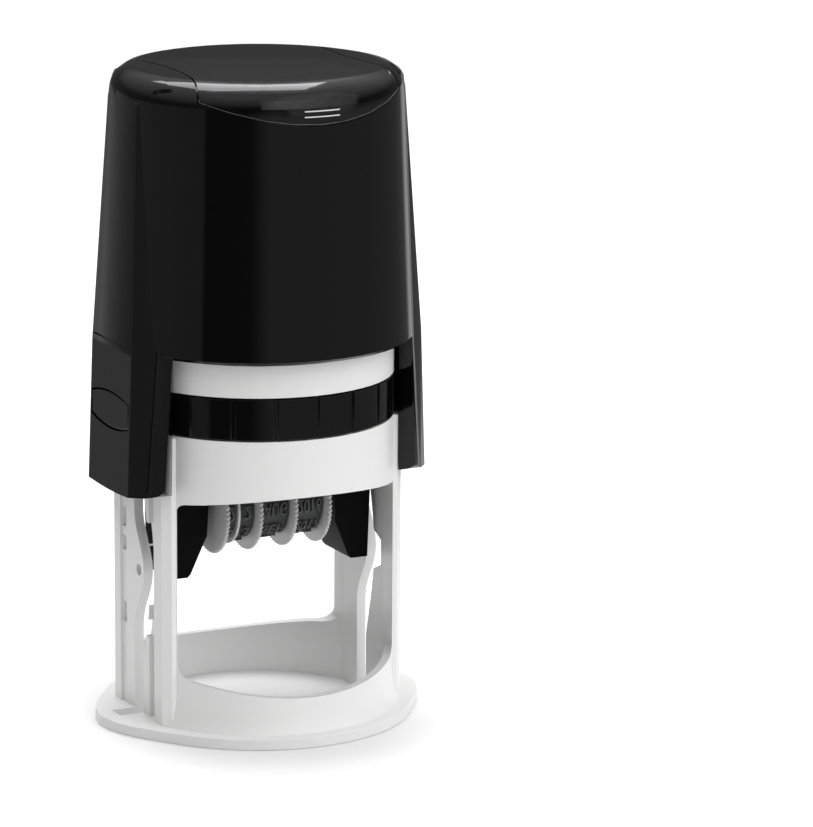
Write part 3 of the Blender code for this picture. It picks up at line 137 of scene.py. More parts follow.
def mouldedSkin():
    # Moulded plastic: a fine orange-peel height, and broad soft patches where the gloss and the
    # colour shift a little
    group, given, out = newGroup(
        "mouldedSkin",
        [("Colour", "NodeSocketColor", (1, 1, 1, 1)),
         ("Second Colour", "NodeSocketColor", (1, 1, 1, 1)),
         ("Roughness", "NodeSocketFloat", 0.3),
         ("Roughness Spread", "NodeSocketFloat", plainLook["spread"]),
         ("Peel Scale", "NodeSocketFloat", plainLook["peelScale"]),
         ("Patch Scale", "NodeSocketFloat", plainLook["patchScale"])],
        [("Colour", "NodeSocketColor"), ("Roughness", "NodeSocketFloat"),
         ("Height", "NodeSocketFloat")])
    place = group.nodes.new("ShaderNodeTexCoord").outputs["Object"]
    patches = noiseNode(group, place, given.outputs["Patch Scale"], *skinNoises["patch"])
    peel = noiseNode(group, place, given.outputs["Peel Scale"], *skinNoises["peel"])
    mix = group.nodes.new("ShaderNodeMix")
    mix.data_type = "RGBA"
    link(group, patches, mix.inputs[0])
    link(group, given.outputs["Colour"], mix.inputs[6])
    link(group, given.outputs["Second Colour"], mix.inputs[7])
    link(group, mix.outputs[2], out.inputs["Colour"])
    centred = mathNode(group, "SUBTRACT", patches, skinNoises["middle"])
    spread = mathNode(group, "MULTIPLY", centred, given.outputs["Roughness Spread"])
    roughness = mathNode(group, "ADD", spread, given.outputs["Roughness"])
    link(group, roughness, out.inputs["Roughness"])
    link(group, peel, out.inputs["Height"])
    return group


skinGroup = mouldedSkin()


def plasticMaterial(name, given):
    # A Principled material whose colour, roughness and bump come from the moulded-skin group
    look = {**plainLook, "secondColour": given["colour"], **given}
    material, tree = newMaterial(name)
    shader = tree.nodes["Principled BSDF"]
    skin = tree.nodes.new("ShaderNodeGroup")
    skin.node_tree = skinGroup
    for label, key in (("Colour", "colour"), ("Second Colour", "secondColour")):
        skin.inputs[label].default_value = (*look[key], 1)
    for label, key in (("Roughness", "roughness"), ("Roughness Spread", "spread"),
                       ("Peel Scale", "peelScale"), ("Patch Scale", "patchScale")):
        skin.inputs[label].default_value = look[key]
    link(tree, skin.outputs["Colour"], shader.inputs["Base Color"])
    link(tree, skin.outputs["Roughness"], shader.inputs["Roughness"])
    bump = tree.nodes.new("ShaderNodeBump")
    bump.inputs["Strength"].default_value = look["bump"]
    bump.inputs["Distance"].default_value = look["bumpDistance"]
    link(tree, skin.outputs["Height"], bump.inputs["Height"])
    link(tree, bump.outputs["Normal"], shader.inputs["Normal"])
    for label, key in (("Specular IOR Level", "specular"), ("Metallic", "metallic"),
                       ("IOR", "ior"), ("Transmission Weight", "transmission")):
        shader.inputs[label].default_value = look[key]
    return material


looks = {
    "white_plastic": {"colour": (0.86, 0.86, 0.855), "secondColour": (0.83, 0.83, 0.83),
                      "roughness": 0.34, "bump": 0.12},
    "black_plastic": {"colour": (0.0022, 0.0022, 0.0023), "secondColour": (0.0032, 0.0032, 0.0032),
                      "roughness": 0.085, "spread": 0.04, "specular": 0.38, "bump": 0.03},
    "black_inner": {"colour": (0.0030, 0.0030, 0.0030), "secondColour": (0.0042, 0.0042, 0.0042),
                    "roughness": 0.42, "specular": 0.03, "bump": 0.12},
    "smoky_clear": {"colour": (0.30, 0.30, 0.31), "roughness": 0.03, "spread": 0.02,
                    "transmission": 1.0, "bump": 0.01, "ior": 1.38},
    # a pale grey that paints the highlight along the lower edge of the clear cover's lips
    "painted_lip_highlight": {"colour": (0.62, 0.62, 0.62), "roughness": 0.3},
    "card": {"colour": (0.010, 0.010, 0.0105), "secondColour": (0.014, 0.014, 0.014),
             "roughness": 0.6, "specular": 0.3, "bump": 0.3},
    "rubber_feet": {"colour": (0.02, 0.02, 0.022), "roughness": 0.75, "bump": 0.4},
    "steel": {"colour": (0.55, 0.55, 0.56), "roughness": 0.28, "metallic": 1.0},
    "felt": {"colour": (0.03, 0.035, 0.07), "secondColour": (0.05, 0.05, 0.09),
             "roughness": 0.95, "peelScale": 2500.0, "bump": 0.9, "bumpDistance": 0.0003},
    "red_plastic": {"colour": (0.56, 0.06, 0.045), "secondColour": (0.50, 0.05, 0.04),
                    "roughness": 0.38},
    "die_rubber": {"colour": (0.205, 0.275, 0.305), "secondColour": (0.18, 0.245, 0.275),
                   "roughness": 0.55, "bump": 0.3},
    "dark_plastic": {"colour": (0.012, 0.012, 0.014), "roughness": 0.42, "bump": 0.2},
    "pale_rubber": {"colour": (0.60, 0.63, 0.60), "secondColour": (0.55, 0.58, 0.56),
                    "roughness": 0.6},
    "wheel_plastic": {"colour": (0.66, 0.66, 0.66), "secondColour": (0.58, 0.58, 0.58),
                      "roughness": 0.42},
    "band_rubber": {"colour": (0.032, 0.033, 0.034), "secondColour": (0.022, 0.023, 0.024),
                    "roughness": 0.5, "bump": 0.3},
    "band_type": {"colour": (0.085, 0.085, 0.085), "secondColour": (0.055, 0.055, 0.055),
                  "roughness": 0.45},
    "hour_type": {"colour": (0.022, 0.032, 0.040), "roughness": 0.5, "bump": 0.3},
    "inked_blue": {"colour": (0.012, 0.10, 0.36), "secondColour": (0.015, 0.12, 0.40),
                   "roughness": 0.4},
    "white_print": {"colour": (0.75, 0.75, 0.75), "roughness": 0.4},
}
materials = {name: plasticMaterial(name, look) for name, look in looks.items()}
print("materials made:", len(materials))


# How the CAD meshes are made ready. Points closer than weld become one, neighbours that bend by
# less than flatDeg become one face, and a bend of more than the sharp angles is an edge
shaping = {"weld": 2e-6, "weldSoft": 4e-5, "flatDeg": 0.1, "sharpDeg": 32, "softSharpDeg": 34,
           "pieceSharpDeg": 35, "softSegments": 3, "uprightSegments": 5, "edgeSegments": 2,
           "profile": 0.5, "faceWeight": 100, "level": 1e-6, "topBand": 1e-5}

# The frame's edges that are moulded softer than the rest: the foot's rim and the windows' outlines
frameSoftEdges = [{"width": 0.0007, "radius": (0.0283, 0.0320), "level": (0.0020, 0.0022),
                   "from": 0.0},
                  {"width": 0.0006, "radius": (0.0248, 0.0250), "level": (0.0083, 0.0458),
                   "from": 0.01215}]


def readArray(items, attribute, width=3, kind=float):
    # One row of numbers for each item, or one number where the width is 1
    values = np.empty(len(items) * width, kind)
    items.foreach_get(attribute, values)
    return values.reshape(-1, width) if width > 1 else values


def bevelEdges(shape, edges, width, segments):
    bmesh.ops.bevel(shape, geom=edges, offset=width, segments=segments,
                    profile=shaping["profile"], affect="EDGES", clamp_overlap=True)


def softenEdges(shape, soft):
    # Sharp edges whose ends both lie in the given ring, between the given levels and at least so
    # far to the front or back
    (inner, outer), (low, high) = soft["radius"], soft["level"]
    sharp = math.radians(shaping["softSharpDeg"])

    def chosen(vert):
        radius = math.hypot(vert.co.x, vert.co.y)
        return inner < radius < outer and low < vert.co.z < high and abs(vert.co.y) >= soft["from"]

    edges = [edge for edge in shape.edges if len(edge.link_faces) == 2
             and edge.calc_face_angle(0) > sharp and all(chosen(vert) for vert in edge.verts)]
    bevelEdges(shape, edges, soft["width"], shaping["softSegments"])


def roundUprights(shape, width):
    # Upright edges are those whose two ends differ in level alone
    edges = [edge for edge in shape.edges
             if (edge.verts[0].co - edge.verts[1].co).xy.length < shaping["level"]]
    bevelEdges(shape, edges, width, shaping["uprightSegments"])


def mergedCopy(node, soft=(), uprights=0.0):
    # A copy of a CAD node as one mesh: loose triangles joined, and flat neighbours one face again
    shape = bmesh.new()
    shape.from_mesh(nodes[node].data)
    bmesh.ops.remove_doubles(shape, verts=shape.verts,
                             dist=shaping["weldSoft"] if soft else shaping["weld"])
    bmesh.ops.dissolve_limit(shape, angle_limit=math.radians(shaping["flatDeg"]),
                             verts=shape.verts, edges=shape.edges)
    for entry in soft:
        softenEdges(shape, entry)
    if uprights:
        roundUprights(shape, uprights)
    mesh = bpy.data.meshes.new(node + "_shape")
    shape.to_mesh(mesh)
    shape.free()
    return mesh


def evaluatedMesh(helper):
    # The helper's mesh with its modifiers carried out, after which the helper goes
    made = bpy.data.meshes.new_from_object(
        helper.evaluated_get(bpy.context.evaluated_depsgraph_get()))
    bpy.data.objects.remove(helper)
    return made


def addPiece(name, mesh):
    piece = bpy.data.objects.new(name, mesh)
    bpy.context.scene.collection.objects.link(piece)
    return piece


def withRoundEdges(mesh, width, sharpDeg, grooves=None):
    # The mesh with its sharp edges rounded and any grooves cut, and with normals that keep each
    # large face flat
    helper = addPiece("roundEdges", mesh)
    mesh.shade_smooth()
    if width:
        bevel = helper.modifiers.new("roundEdge", "BEVEL")
        bevel.width = width
        bevel.segments = shaping["edgeSegments"]
        bevel.limit_method = "ANGLE"
        bevel.angle_limit = math.radians(sharpDeg)
        bevel.use_clamp_overlap = True
    else:
        mesh.set_sharp_from_angle(angle=math.radians(sharpDeg))
    if grooves:
        carve = helper.modifiers.new("grooves", "BOOLEAN")
        carve.operation = "DIFFERENCE"
        carve.solver = "EXACT"
        carve.object = grooves
    weighted = helper.modifiers.new("weighted", "WEIGHTED_NORMAL")
    weighted.weight = shaping["faceWeight"]
    weighted.keep_sharp = not width
    return evaluatedMesh(helper)


# The cap's skin, which the clear cover shares: a cone with a little draft from its foot up, and a
# round corner between it and the crown
capSkin = {"topRadius": 0.0267, "corner": 0.0046, "crown": 0.0004, "draft": 0.040,
           "from": 0.0708, "withinDeg": 14}
capSkin["cornerAt"] = (capSkin["topRadius"] - capSkin["corner"],
                       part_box("cap_shell")[1][2] - capSkin["crown"] - capSkin["corner"])


def turnedSkinNormals(points, skin):
    # Normals of a turned skin: level on the cone but for its draft, round its top corner along the
    # line from the corner's centre, and straight up on the crown
    radius = np.hypot(points[:, 0], points[:, 1])
    out = radius - skin["cornerAt"][0]
    up = points[:, 2] - skin["cornerAt"][1]
    angle = np.where(up <= 0, 0.0, np.where(out <= 0, math.pi / 2, np.arctan2(up, out)))
    angle = np.maximum(angle, skin["draft"])
    level = np.cos(angle) / np.maximum(radius, tiny)
    return np.column_stack((points[:, 0] * level, points[:, 1] * level, np.sin(angle)))


def alongSkin(mesh, skin):
    # How far each face looks the way the skin does there, as a cosine, and the faces' middles
    middles = readArray(mesh.polygons, "center")
    facing = readArray(mesh.polygons, "normal")
    return (turnedSkinNormals(middles, skin) * facing).sum(axis=1), middles


def followSkin(mesh, skin):
    # Faces that lie along the turned skin take its exact normals, at whatever depth they are
    corners = readArray(mesh.corner_normals, "vector")
    points = readArray(mesh.vertices, "co")
    cornerPoints = points[readArray(mesh.loops, "vertex_index", 1, int)]
    along, middles = alongSkin(mesh, skin)
    near = (along > math.cos(math.radians(skin["withinDeg"]))) & (middles[:, 2] > skin["from"])
    onSkin = np.repeat(near, readArray(mesh.polygons, "loop_total", 1, int))
    corners[onSkin] = turnedSkinNormals(cornerPoints, skin)[onSkin]
    mesh.normals_split_custom_set(corners)


def lowerTop(mesh, depth):
    # Points on the top face go down, which leaves room for raised type up to the old level
    points = readArray(mesh.vertices, "co")
    points[points[:, 2] > points[:, 2].max() - shaping["topBand"], 2] -= depth
    mesh.vertices.foreach_set("co", points.ravel())
    mesh.update()


# A thin moulding line down each front and back face of the cap's legs, given for one of the four
legLine = {"top": (0.02560, 0.01232, 0.0722), "foot": (0.02737, 0.01190, 0.0462),
           "wide": 0.00026, "deep": 0.0003, "outward": (0.85, 0.52, 0.05)}
boxRing = ((-1, -1), (1, -1), (1, 1), (-1, 1))
boxFaces = ((0, 1, 2, 3), (7, 6, 5, 4), (0, 4, 5, 1), (1, 5, 6, 2), (2, 6, 7, 3), (3, 7, 4, 0))


def makeLegLines():
    # Four thin boxes: each runs along its line, and reaches as far out of the face as into it
    points, faces = [], []
    for signs in ((1, 1), (1, -1), (-1, 1), (-1, -1)):
        flip = np.array((*signs, 1))
        top, foot, outward = (np.array(legLine[key]) * flip for key in ("top", "foot", "outward"))
        outward /= np.linalg.norm(outward)
        side = np.cross(foot - top, outward)
        side *= legLine["wide"] / 2 / np.linalg.norm(side)
        reach = outward * legLine["deep"]
        first = len(points)
        points += [tuple(end + a * side + b * reach) for end in (top, foot) for a, b in boxRing]
        faces += [tuple(first + i for i in face) for face in boxFaces]
    mesh = bpy.data.meshes.new("leg_lines")
    mesh.from_pydata(points, [], faces)
    shape = bmesh.new()
    shape.from_mesh(mesh)
    bmesh.ops.recalc_face_normals(shape, faces=shape.faces)
    shape.to_mesh(mesh)
    shape.free()
    return addPiece("leg_lines", mesh)


def dressedCopy(node, sharpDeg=shaping["sharpDeg"], roundEdge=0.0, skin=None, lowered=0.0,
                grooves=None, material=None, soft=(), uprights=0.0):
    merged = mergedCopy(node, soft, uprights)
    if lowered:
        lowerTop(merged, lowered)
    mesh = withRoundEdges(merged, roundEdge, sharpDeg, grooves)
    if skin:
        followSkin(mesh, skin)
    piece = addPiece(node + "_dressed", mesh)
    mesh.materials.clear()
    mesh.materials.append(materials[material or slotOf[node]])
    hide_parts(node)
    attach(piece, bodyOf[node])


# What each CAD node gets beside its slot's material: rounded edges, the cap's skin, grooves, a top
# that goes down for raised type, or another material
legLines = makeLegLines()
finishes = {
    "cap_shell": {"roundEdge": 0.00015, "sharpDeg": 34, "skin": capSkin, "grooves": legLines},
    "index_cover": {"roundEdge": 0.00025, "sharpDeg": 34, "skin": capSkin},
    "base_frame": {"roundEdge": 0.0002, "sharpDeg": 34, "soft": frameSoftEdges},
    "pad_tray": {"roundEdge": 0.00015, "sharpDeg": 34},
    "plate_carrier": {"roundEdge": 0.00015, "sharpDeg": 34, "material": "black_inner"},
    "time_ring": {"roundEdge": 0.00008, "sharpDeg": 40},
    "time_die": {"lowered": 0.0005},
    "arrow_plate": {"lowered": 0.0003, "roundEdge": 0.0001},
}
for side in ("left", "right"):
    finishes["crank_" + side] = {"roundEdge": 0.0001, "material": "black_inner"}
    finishes["lock_button_" + side] = {"roundEdge": 0.00015}
for number in range(1, 5):
    finishes[f"foot_pad_{number}"] = {"roundEdge": 0.0002, "uprights": 0.0010}
dialNames = ("tens", "units", "month", "year")
ownPieces = ["wheel_" + name for name in dialNames] + ["date_band_" + name for name in dialNames]
for node in nodes:
    if node not in ownPieces:
        dressedCopy(node, **finishes.get(node, {}))
bpy.data.objects.remove(legLines)

# A painted highlight along the lower edge of the clear cover's lips, where the edge catches light:
# the faces that turn off the skin but not inwards, low enough and far enough to the front or back,
# take a pale material
lipHighlight = {"from": 0.008, "below": 0.1178, "offSkinDeg": (14, 120), "material": "painted_lip_highlight"}


def paleLips(mesh):
    along, middles = alongSkin(mesh, capSkin)
    most, least = (math.cos(math.radians(angle)) for angle in lipHighlight["offSkinDeg"])
    edge = (along < most) & (along > least)
    edge &= (np.abs(middles[:, 1]) > lipHighlight["from"]) & (middles[:, 2] < lipHighlight["below"])
    # the lip's edge faces take the pale material, a painted highlight
    mesh.materials.append(materials[lipHighlight["material"]])
    mesh.polygons.foreach_set("material_index", edge.astype(np.int32))


paleLips(bpy.data.objects["index_cover_dressed"].data)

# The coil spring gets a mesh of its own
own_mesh(bpy.data.objects["return_spring_dressed"])
print("pieces dressed")


def gridMesh(name, grid, wrapRows=True):
    # Quads between neighbouring points of a grid whose columns close round, turned so that the
    # skin faces outwards
    rows, columns = grid.shape[:2]
    here = np.arange(rows * columns).reshape(rows, columns)
    after = np.roll(here, -1, axis=0)
    if not wrapRows:
        here, after = here[:-1], after[:-1]
    faces = np.stack((here, np.roll(here, -1, 1), np.roll(after, -1, 1), after), axis=-1)
    faces = faces.reshape(-1, 4)
    points = grid.reshape(-1, 3)
    a, b, c, d = (points[faces[:, i]] for i in range(4))
    if ((np.cross(b - a, c - a) + np.cross(c - a, d - a)) * a).sum() < 0:
        faces = faces[:, ::-1]
    mesh = bpy.data.meshes.new(name)
    mesh.from_pydata(points.tolist(), [], faces.tolist())
    return mesh


def partOf(mesh, number=0):
    # A mesh whose faces all have as many corners, as (points, faces, material number)
    points = readArray(mesh.vertices, "co")
    corners = readArray(mesh.loops, "vertex_index", 1, int)
    return points, corners.reshape(len(mesh.polygons), -1), number


def joinedMesh(name, parts):
    # One mesh from several (points, faces, material number) parts
    points, faces, numbers = [], [], []
    first = 0
    for partPoints, partFaces, number in parts:
        points.append(partPoints)
        faces += (partFaces + first).tolist()
        numbers += [number] * len(partFaces)
        first += len(partPoints)
    mesh = bpy.data.meshes.new(name)
    mesh.from_pydata(np.concatenate(points).tolist(), [], faces)
    mesh.polygons.foreach_set("material_index", np.array(numbers, dtype=np.int32))
    return mesh


def finishPiece(piece, body, finishNames):
    piece.data.shade_smooth()
    piece.data.set_sharp_from_angle(angle=math.radians(shaping["pieceSharpDeg"]))
    for name in finishNames:
        piece.data.materials.append(materials[name])
    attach(piece, body)


# Lettering for the dials: solid words, one unit tall, from the built-in font
lettering = {"halfDepth": 0.5, "resolution": 3, "weld": 1e-4}
wordShapes = {}


def wordShape(text):
    # Points centred on the word, with depth from 0 at its back to 1 at its face, and triangles
    if text not in wordShapes:
        curve = bpy.data.curves.new("word", "FONT")
        curve.body = text
        curve.extrude = lettering["halfDepth"]
        curve.resolution_u = lettering["resolution"]
        mesh = evaluatedMesh(addPiece("word", curve))
        shape = bmesh.new()
        shape.from_mesh(mesh)
        bmesh.ops.remove_doubles(shape, verts=shape.verts, dist=lettering["weld"])
        bmesh.ops.triangulate(shape, faces=shape.faces)
        bmesh.ops.recalc_face_normals(shape, faces=shape.faces)
        shape.to_mesh(mesh)
        shape.free()
        points, faces, _ = partOf(mesh)
        low, high = points.min(axis=0), points.max(axis=0)
        points = points - ((low[0] + high[0]) / 2, (low[1] + high[1]) / 2, low[2])
        points[:, :2] /= high[1] - low[1]
        wordShapes[text] = (points, faces)
    return wordShapes[text]


# Knurled date wheels. The rim's profile is given as (inward from the disc's face, below the rim,
# share of the ridges' depth), and comes back mirrored on the disc's other face
wheels = {"axisY": -0.0025, "axisZ": 0.0396, "radius": 0.0083, "thick": 0.0008, "drum": 0.0046,
          "bore": 0.0011, "fillet": 0.0002, "ridges": 56, "ridgeDepth": 0.0005,
          "ridgePower": 1.5, "steps": 8,
          "rim": [(0, 0.0014, 0), (0.00004, 0.0009, 0.7), (0.00010, 0.0002, 1), (0.00022, 0, 1)]}


def makeWheel(name):
    # A loop of (inward, radius) that runs over the disc's rim and the drum and back through the
    # bore, carried round the axle
    low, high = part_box("wheel_" + name)
    outer, inward = (low[0], 1) if name == "tens" else (high[0], -1)
    reach, rim, thick, drum = high[0] - low[0], wheels["radius"], wheels["thick"], wheels["drum"]
    face = [(across, rim - below, share) for across, below, share in wheels["rim"]]
    back = [(thick - across, radius, share) for across, radius, share in reversed(face)]
    profile = np.array([(0, wheels["bore"], 0), *face, *back, (thick, drum + wheels["fillet"], 0),
                        (thick + wheels["fillet"], drum, 0), (reach, drum, 0),
                        (reach, wheels["bore"], 0)])
    count = wheels["ridges"] * wheels["steps"]
    angle = np.arange(count) * 2 * math.pi / count
    # each ridge is a rounded tooth: a cosine raised to leave narrow valleys
    dip = (0.5 - 0.5 * np.cos(wheels["ridges"] * angle)) ** wheels["ridgePower"]
    dip *= wheels["ridgeDepth"]
    radius = profile[None, :, 1] - dip[:, None] * profile[None, :, 2]
    grid = np.stack((np.broadcast_to(outer + inward * profile[:, 0], radius.shape),
                     wheels["axisY"] + radius * np.cos(angle)[:, None],
                     wheels["axisZ"] + radius * np.sin(angle)[:, None]), axis=-1)
    piece = addPiece("knurled_wheel_" + name, gridMesh("knurled_wheel_" + name, grid))
    finishPiece(piece, bodyOf["wheel_" + name], ["wheel_plastic"])
    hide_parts("wheel_" + name)


# Rubber bands: a belt pulled round the drum and the two corners of the bar at the printing face
bands = {"inside": 0.0003, "thick": 0.0010, "raised": 0.0005, "sunkShare": 0.15, "steps": 720,
         "rowsAsked": 0.0036, "letterTall": 0.0023, "barHalf": 0.0011, "barRound": 0.0006,
         "faceLevel": 0.0574,
         "words": {"tens": list("0123") * 4,
                   "units": list("0123456789") * 2,
                   "month": ["JAN", "FEB", "MAR", "APR", "MAY", "JUN", "JUL", "AUG", "SEP", "OCT",
                             "NOV", "DEC", "---", "---"],
                   "year": [str(year) for year in range(2011, 2025)]},
         "startWord": {"tens": 1, "units": 7, "month": 2, "year": 0},
         "wideShare": {"tens": 0.85, "units": 0.85, "month": 0.80, "year": 0.88}}


def beltPath(grow):
    # The outline of a hull of three circles: at each direction the furthest circle gives the point
    theta = np.linspace(0, 2 * math.pi, bands["steps"] + 1)
    out = np.column_stack((np.cos(theta), np.sin(theta)))
    corner = bands["barHalf"] - bands["barRound"]
    barTop = bands["faceLevel"] - bands["raised"] - bands["thick"] - bands["inside"]
    top = barTop - bands["barRound"]
    centres = np.array([(wheels["axisY"], wheels["axisZ"]), (wheels["axisY"] + corner, top),
                        (wheels["axisY"] - corner, top)])
    radii = np.array([wheels["drum"], bands["barRound"], bands["barRound"]]) + grow
    best = (out @ centres.T + radii).argmax(axis=1)
    points = centres[best] + radii[best, None] * out
    travelled = np.concatenate(([0.0], np.cumsum(np.hypot(*np.diff(points, axis=0).T))))
    return theta, points, travelled


def makeBand(name):
    # The belt is a square section carried along its path. Each word bends with the path: its
    # height runs along it, its depth stands off it, and its width lies across it
    low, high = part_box("date_band_" + name)
    _, inner, _ = beltPath(bands["inside"])
    theta, outer, travelled = beltPath(bands["inside"] + bands["thick"])
    ring = [np.column_stack((np.full(len(path), across), path))[:-1] for path, across in
            ((inner, low[0]), (inner, high[0]), (outer, high[0]), (outer, low[0]))]
    parts = [partOf(gridMesh("belt", np.stack(ring, axis=1)))]
    # rows of type start at the printing face and meet the front of the drum a whole number on
    top = np.interp(math.pi / 2, theta, travelled)
    front = np.interp(math.pi, theta, travelled) - top
    pitch = front / round(front / bands["rowsAsked"])
    wide = (high[0] - low[0]) * bands["wideShare"][name]
    words = bands["words"][name]
    sunk = bands["sunkShare"]
    for row in range(int(travelled[-1] / pitch)):
        points, faces = wordShape(words[(bands["startWord"][name] + row) % len(words)])
        along = (top + row * pitch + points[:, 1] * bands["letterTall"]) % travelled[-1]
        level = bands["raised"] * (points[:, 2] * (1 + sunk) - sunk)
        turn = np.interp(along, travelled, theta)
        place = [np.interp(along, travelled, outer[:, i]) + level * way
                 for i, way in ((0, np.cos(turn)), (1, np.sin(turn)))]
        # a single figure keeps its shape, and a longer word fills the band's width
        scale = wide / np.ptp(points[:, 0]) if len(words[0]) > 1 else bands["letterTall"]
        across = (low[0] + high[0]) / 2 + points[:, 0] * scale
        parts.append((np.column_stack((across, *place)), faces, 1))
    piece = addPiece("type_band_" + name, joinedMesh("type_band_" + name, parts))
    finishPiece(piece, bodyOf["date_band_" + name], ["band_rubber", "band_type"])
    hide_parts("date_band_" + name)


for name in dialNames:
    makeWheel(name)
    makeBand(name)
print("wheels and bands made")


# Hour ring: 24 mirrored numbers with tops towards the middle, rules between them and short ticks.
# The arrow plate beside it gets the outline of a triangle
hours = {"count": 24, "inner": 0.0163, "outer": 0.0196, "rule": 0.00022, "ruleSteps": 192,
         "overlapShare": 0.9, "numberTall": 0.0014, "numberAt": 0.01865, "tickTo": 0.01745,
         "ticks": 4, "raised": 0.0005, "sunk": 0.0001}
pointer = {"tip": 0.0088, "base": 0.0071, "half": 0.0012, "line": 0.0003, "deep": 0.0004}
cubeCorners = np.array([(x, y, z) for x in (0, 1) for y in (-0.5, 0.5) for z in (0, 1)],
                       dtype=float)
cubeFaces = np.array([(0, 1, 3, 2), (4, 6, 7, 5), (0, 4, 5, 1), (2, 3, 7, 6), (0, 2, 6, 4),
                      (1, 5, 7, 3)])


def bars(start, end, width, low, high):
    # Straight bars from each start to its end: unit boxes stretched along, across and up
    way = end - start
    length = np.hypot(way[:, 0], way[:, 1])[:, None]
    side = np.column_stack((-way[:, 1], way[:, 0])) / length * width
    along, across, rise = (cubeCorners[None, :, i:i + 1] for i in range(3))
    flat = start[:, None] + way[:, None] * along + side[:, None] * across
    up = np.broadcast_to(low + (high - low) * rise, (len(start), 8, 1))
    points = np.concatenate((flat, up), axis=2).reshape(-1, 3)
    faces = (cubeFaces[None] + 8 * np.arange(len(start))[:, None, None]).reshape(-1, 4)
    return points, faces


def circleRule(radius, width, low, high):
    # A flat ring: the corners of its section carried round the axis
    steps = hours["ruleSteps"]
    angle = np.arange(steps) * 2 * math.pi / steps
    inner, outer = radius - width / 2, radius + width / 2
    loop = np.array([(inner, low), (inner, high), (outer, high), (outer, low)])
    grid = np.stack((np.cos(angle)[:, None] * loop[None, :, 0],
                     np.sin(angle)[:, None] * loop[None, :, 0],
                     np.broadcast_to(loop[None, :, 1], (steps, 4))), axis=-1)
    return partOf(gridMesh("circle_rule", grid), 1)


def makeHours():
    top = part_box("time_die")[1][2]
    low = top - hours["raised"] - hours["sunk"]
    rule, inner, outer, tall = hours["rule"], hours["inner"], hours["outer"], hours["numberTall"]
    sector = 2 * math.pi / hours["count"]
    sectors = np.arange(hours["count"])
    overlap = rule * hours["overlapShare"]
    parts = [circleRule(inner + rule / 2, rule, low, top),
             circleRule(outer - rule / 2, rule, low, top)]
    # rules stand halfway between the numbers, and ticks share out each number's sector
    angle = (sectors + 0.5) * sector
    spoke = np.column_stack((np.cos(angle), np.sin(angle)))
    rules = bars(spoke * (inner + overlap), spoke * (outer - overlap), rule, low, top)
    parts.append((*rules, 1))
    share = (np.arange(hours["ticks"]) + 1) / (hours["ticks"] + 1)
    angle = ((sectors[:, None] - 0.5 + share[None]) * sector).ravel()
    spoke = np.column_stack((np.cos(angle), np.sin(angle)))
    ticks = bars(spoke * (inner + overlap), spoke * hours["tickTo"], rule, low, top)
    parts.append((*ticks, 0))
    for hour in range(hours["count"]):
        shape, faces = wordShape(f"{hour:02d}")
        cos, sin = math.cos(hour * sector), math.sin(hour * sector)
        rise = hours["numberAt"] - shape[:, 1] * tall
        across = shape[:, 0] * tall
        place = (rise * cos + across * sin, rise * sin - across * cos,
                 low + (top - low) * shape[:, 2])
        # the figures are mirrored, so their faces are turned round
        parts.append((np.column_stack(place), faces[:, ::-1], 0))
    piece = addPiece("hour_type", joinedMesh("hour_type", parts))
    finishPiece(piece, bodyOf["time_die"], ["hour_type", "inked_blue"])


def makePointer():
    # The outline of a triangle that points at the hour ring
    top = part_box("arrow_plate")[1][2]
    corners = np.array([(0, pointer["tip"]), (-pointer["half"], pointer["base"]),
                        (pointer["half"], pointer["base"])])
    after = np.roll(corners, -1, axis=0)
    lines = bars(corners, after, pointer["line"], top - pointer["deep"], top)
    piece = addPiece("pointer", joinedMesh("pointer", [(*lines, 0)]))
    finishPiece(piece, bodyOf["arrow_plate"], ["inked_blue"])


makeHours()
makePointer()
print("hour ring lettered")


# Two short pale strokes on the front lip of the clear cover, laid on the cap's cone, which has the
# low radius at the level lowAt and the high radius at highAt
strokes = {"half": 0.0034, "tall": 0.00020, "levels": (0.1158, 0.1148), "proud": 0.00004,
           "deep": 0.00005, "columns": 25, "weld": 1e-7, "radiusLow": 0.0285,
           "radiusHigh": 0.0267, "lowAt": 0.07085, "highAt": 0.12095}


def makeStroke(level, name):
    # A strip on the cap's cone: across by x, round by the circle, its ends drawn together
    count, low, high = strokes["columns"], strokes["radiusLow"], strokes["radiusHigh"]
    across = np.linspace(-strokes["half"], strokes["half"], count)
    loop = np.array([(-0.5, -strokes["deep"]), (-0.5, strokes["proud"]),
                     (0.5, strokes["proud"]), (0.5, -strokes["deep"])])
    height = level + loop[:, 0] * strokes["tall"]
    share = (height - strokes["lowAt"]) / (strokes["highAt"] - strokes["lowAt"])
    radius = low + (high - low) * share + loop[:, 1]
    grid = np.stack((np.broadcast_to(across[:, None], (count, 4)),
                     -np.sqrt(radius[None] ** 2 - across[:, None] ** 2),
                     np.broadcast_to(height[None], (count, 4))), axis=-1)
    ends = np.broadcast_to(grid[[0, -1]].mean(axis=1, keepdims=True), (2, 4, 3))
    grid = np.concatenate((ends[:1], grid, ends[1:]))
    mesh = gridMesh(name, grid, wrapRows=False)
    shape = bmesh.new()
    shape.from_mesh(mesh)
    bmesh.ops.remove_doubles(shape, verts=shape.verts, dist=strokes["weld"])
    bmesh.ops.dissolve_degenerate(shape, edges=shape.edges, dist=strokes["weld"])
    shape.to_mesh(mesh)
    shape.free()
    finishPiece(addPiece(name, mesh), bodyOf["index_cover"], ["white_print"])


for number, level in enumerate(strokes["levels"]):
    makeStroke(level, f"lip_stroke_{number + 1}")
print("cover marked")
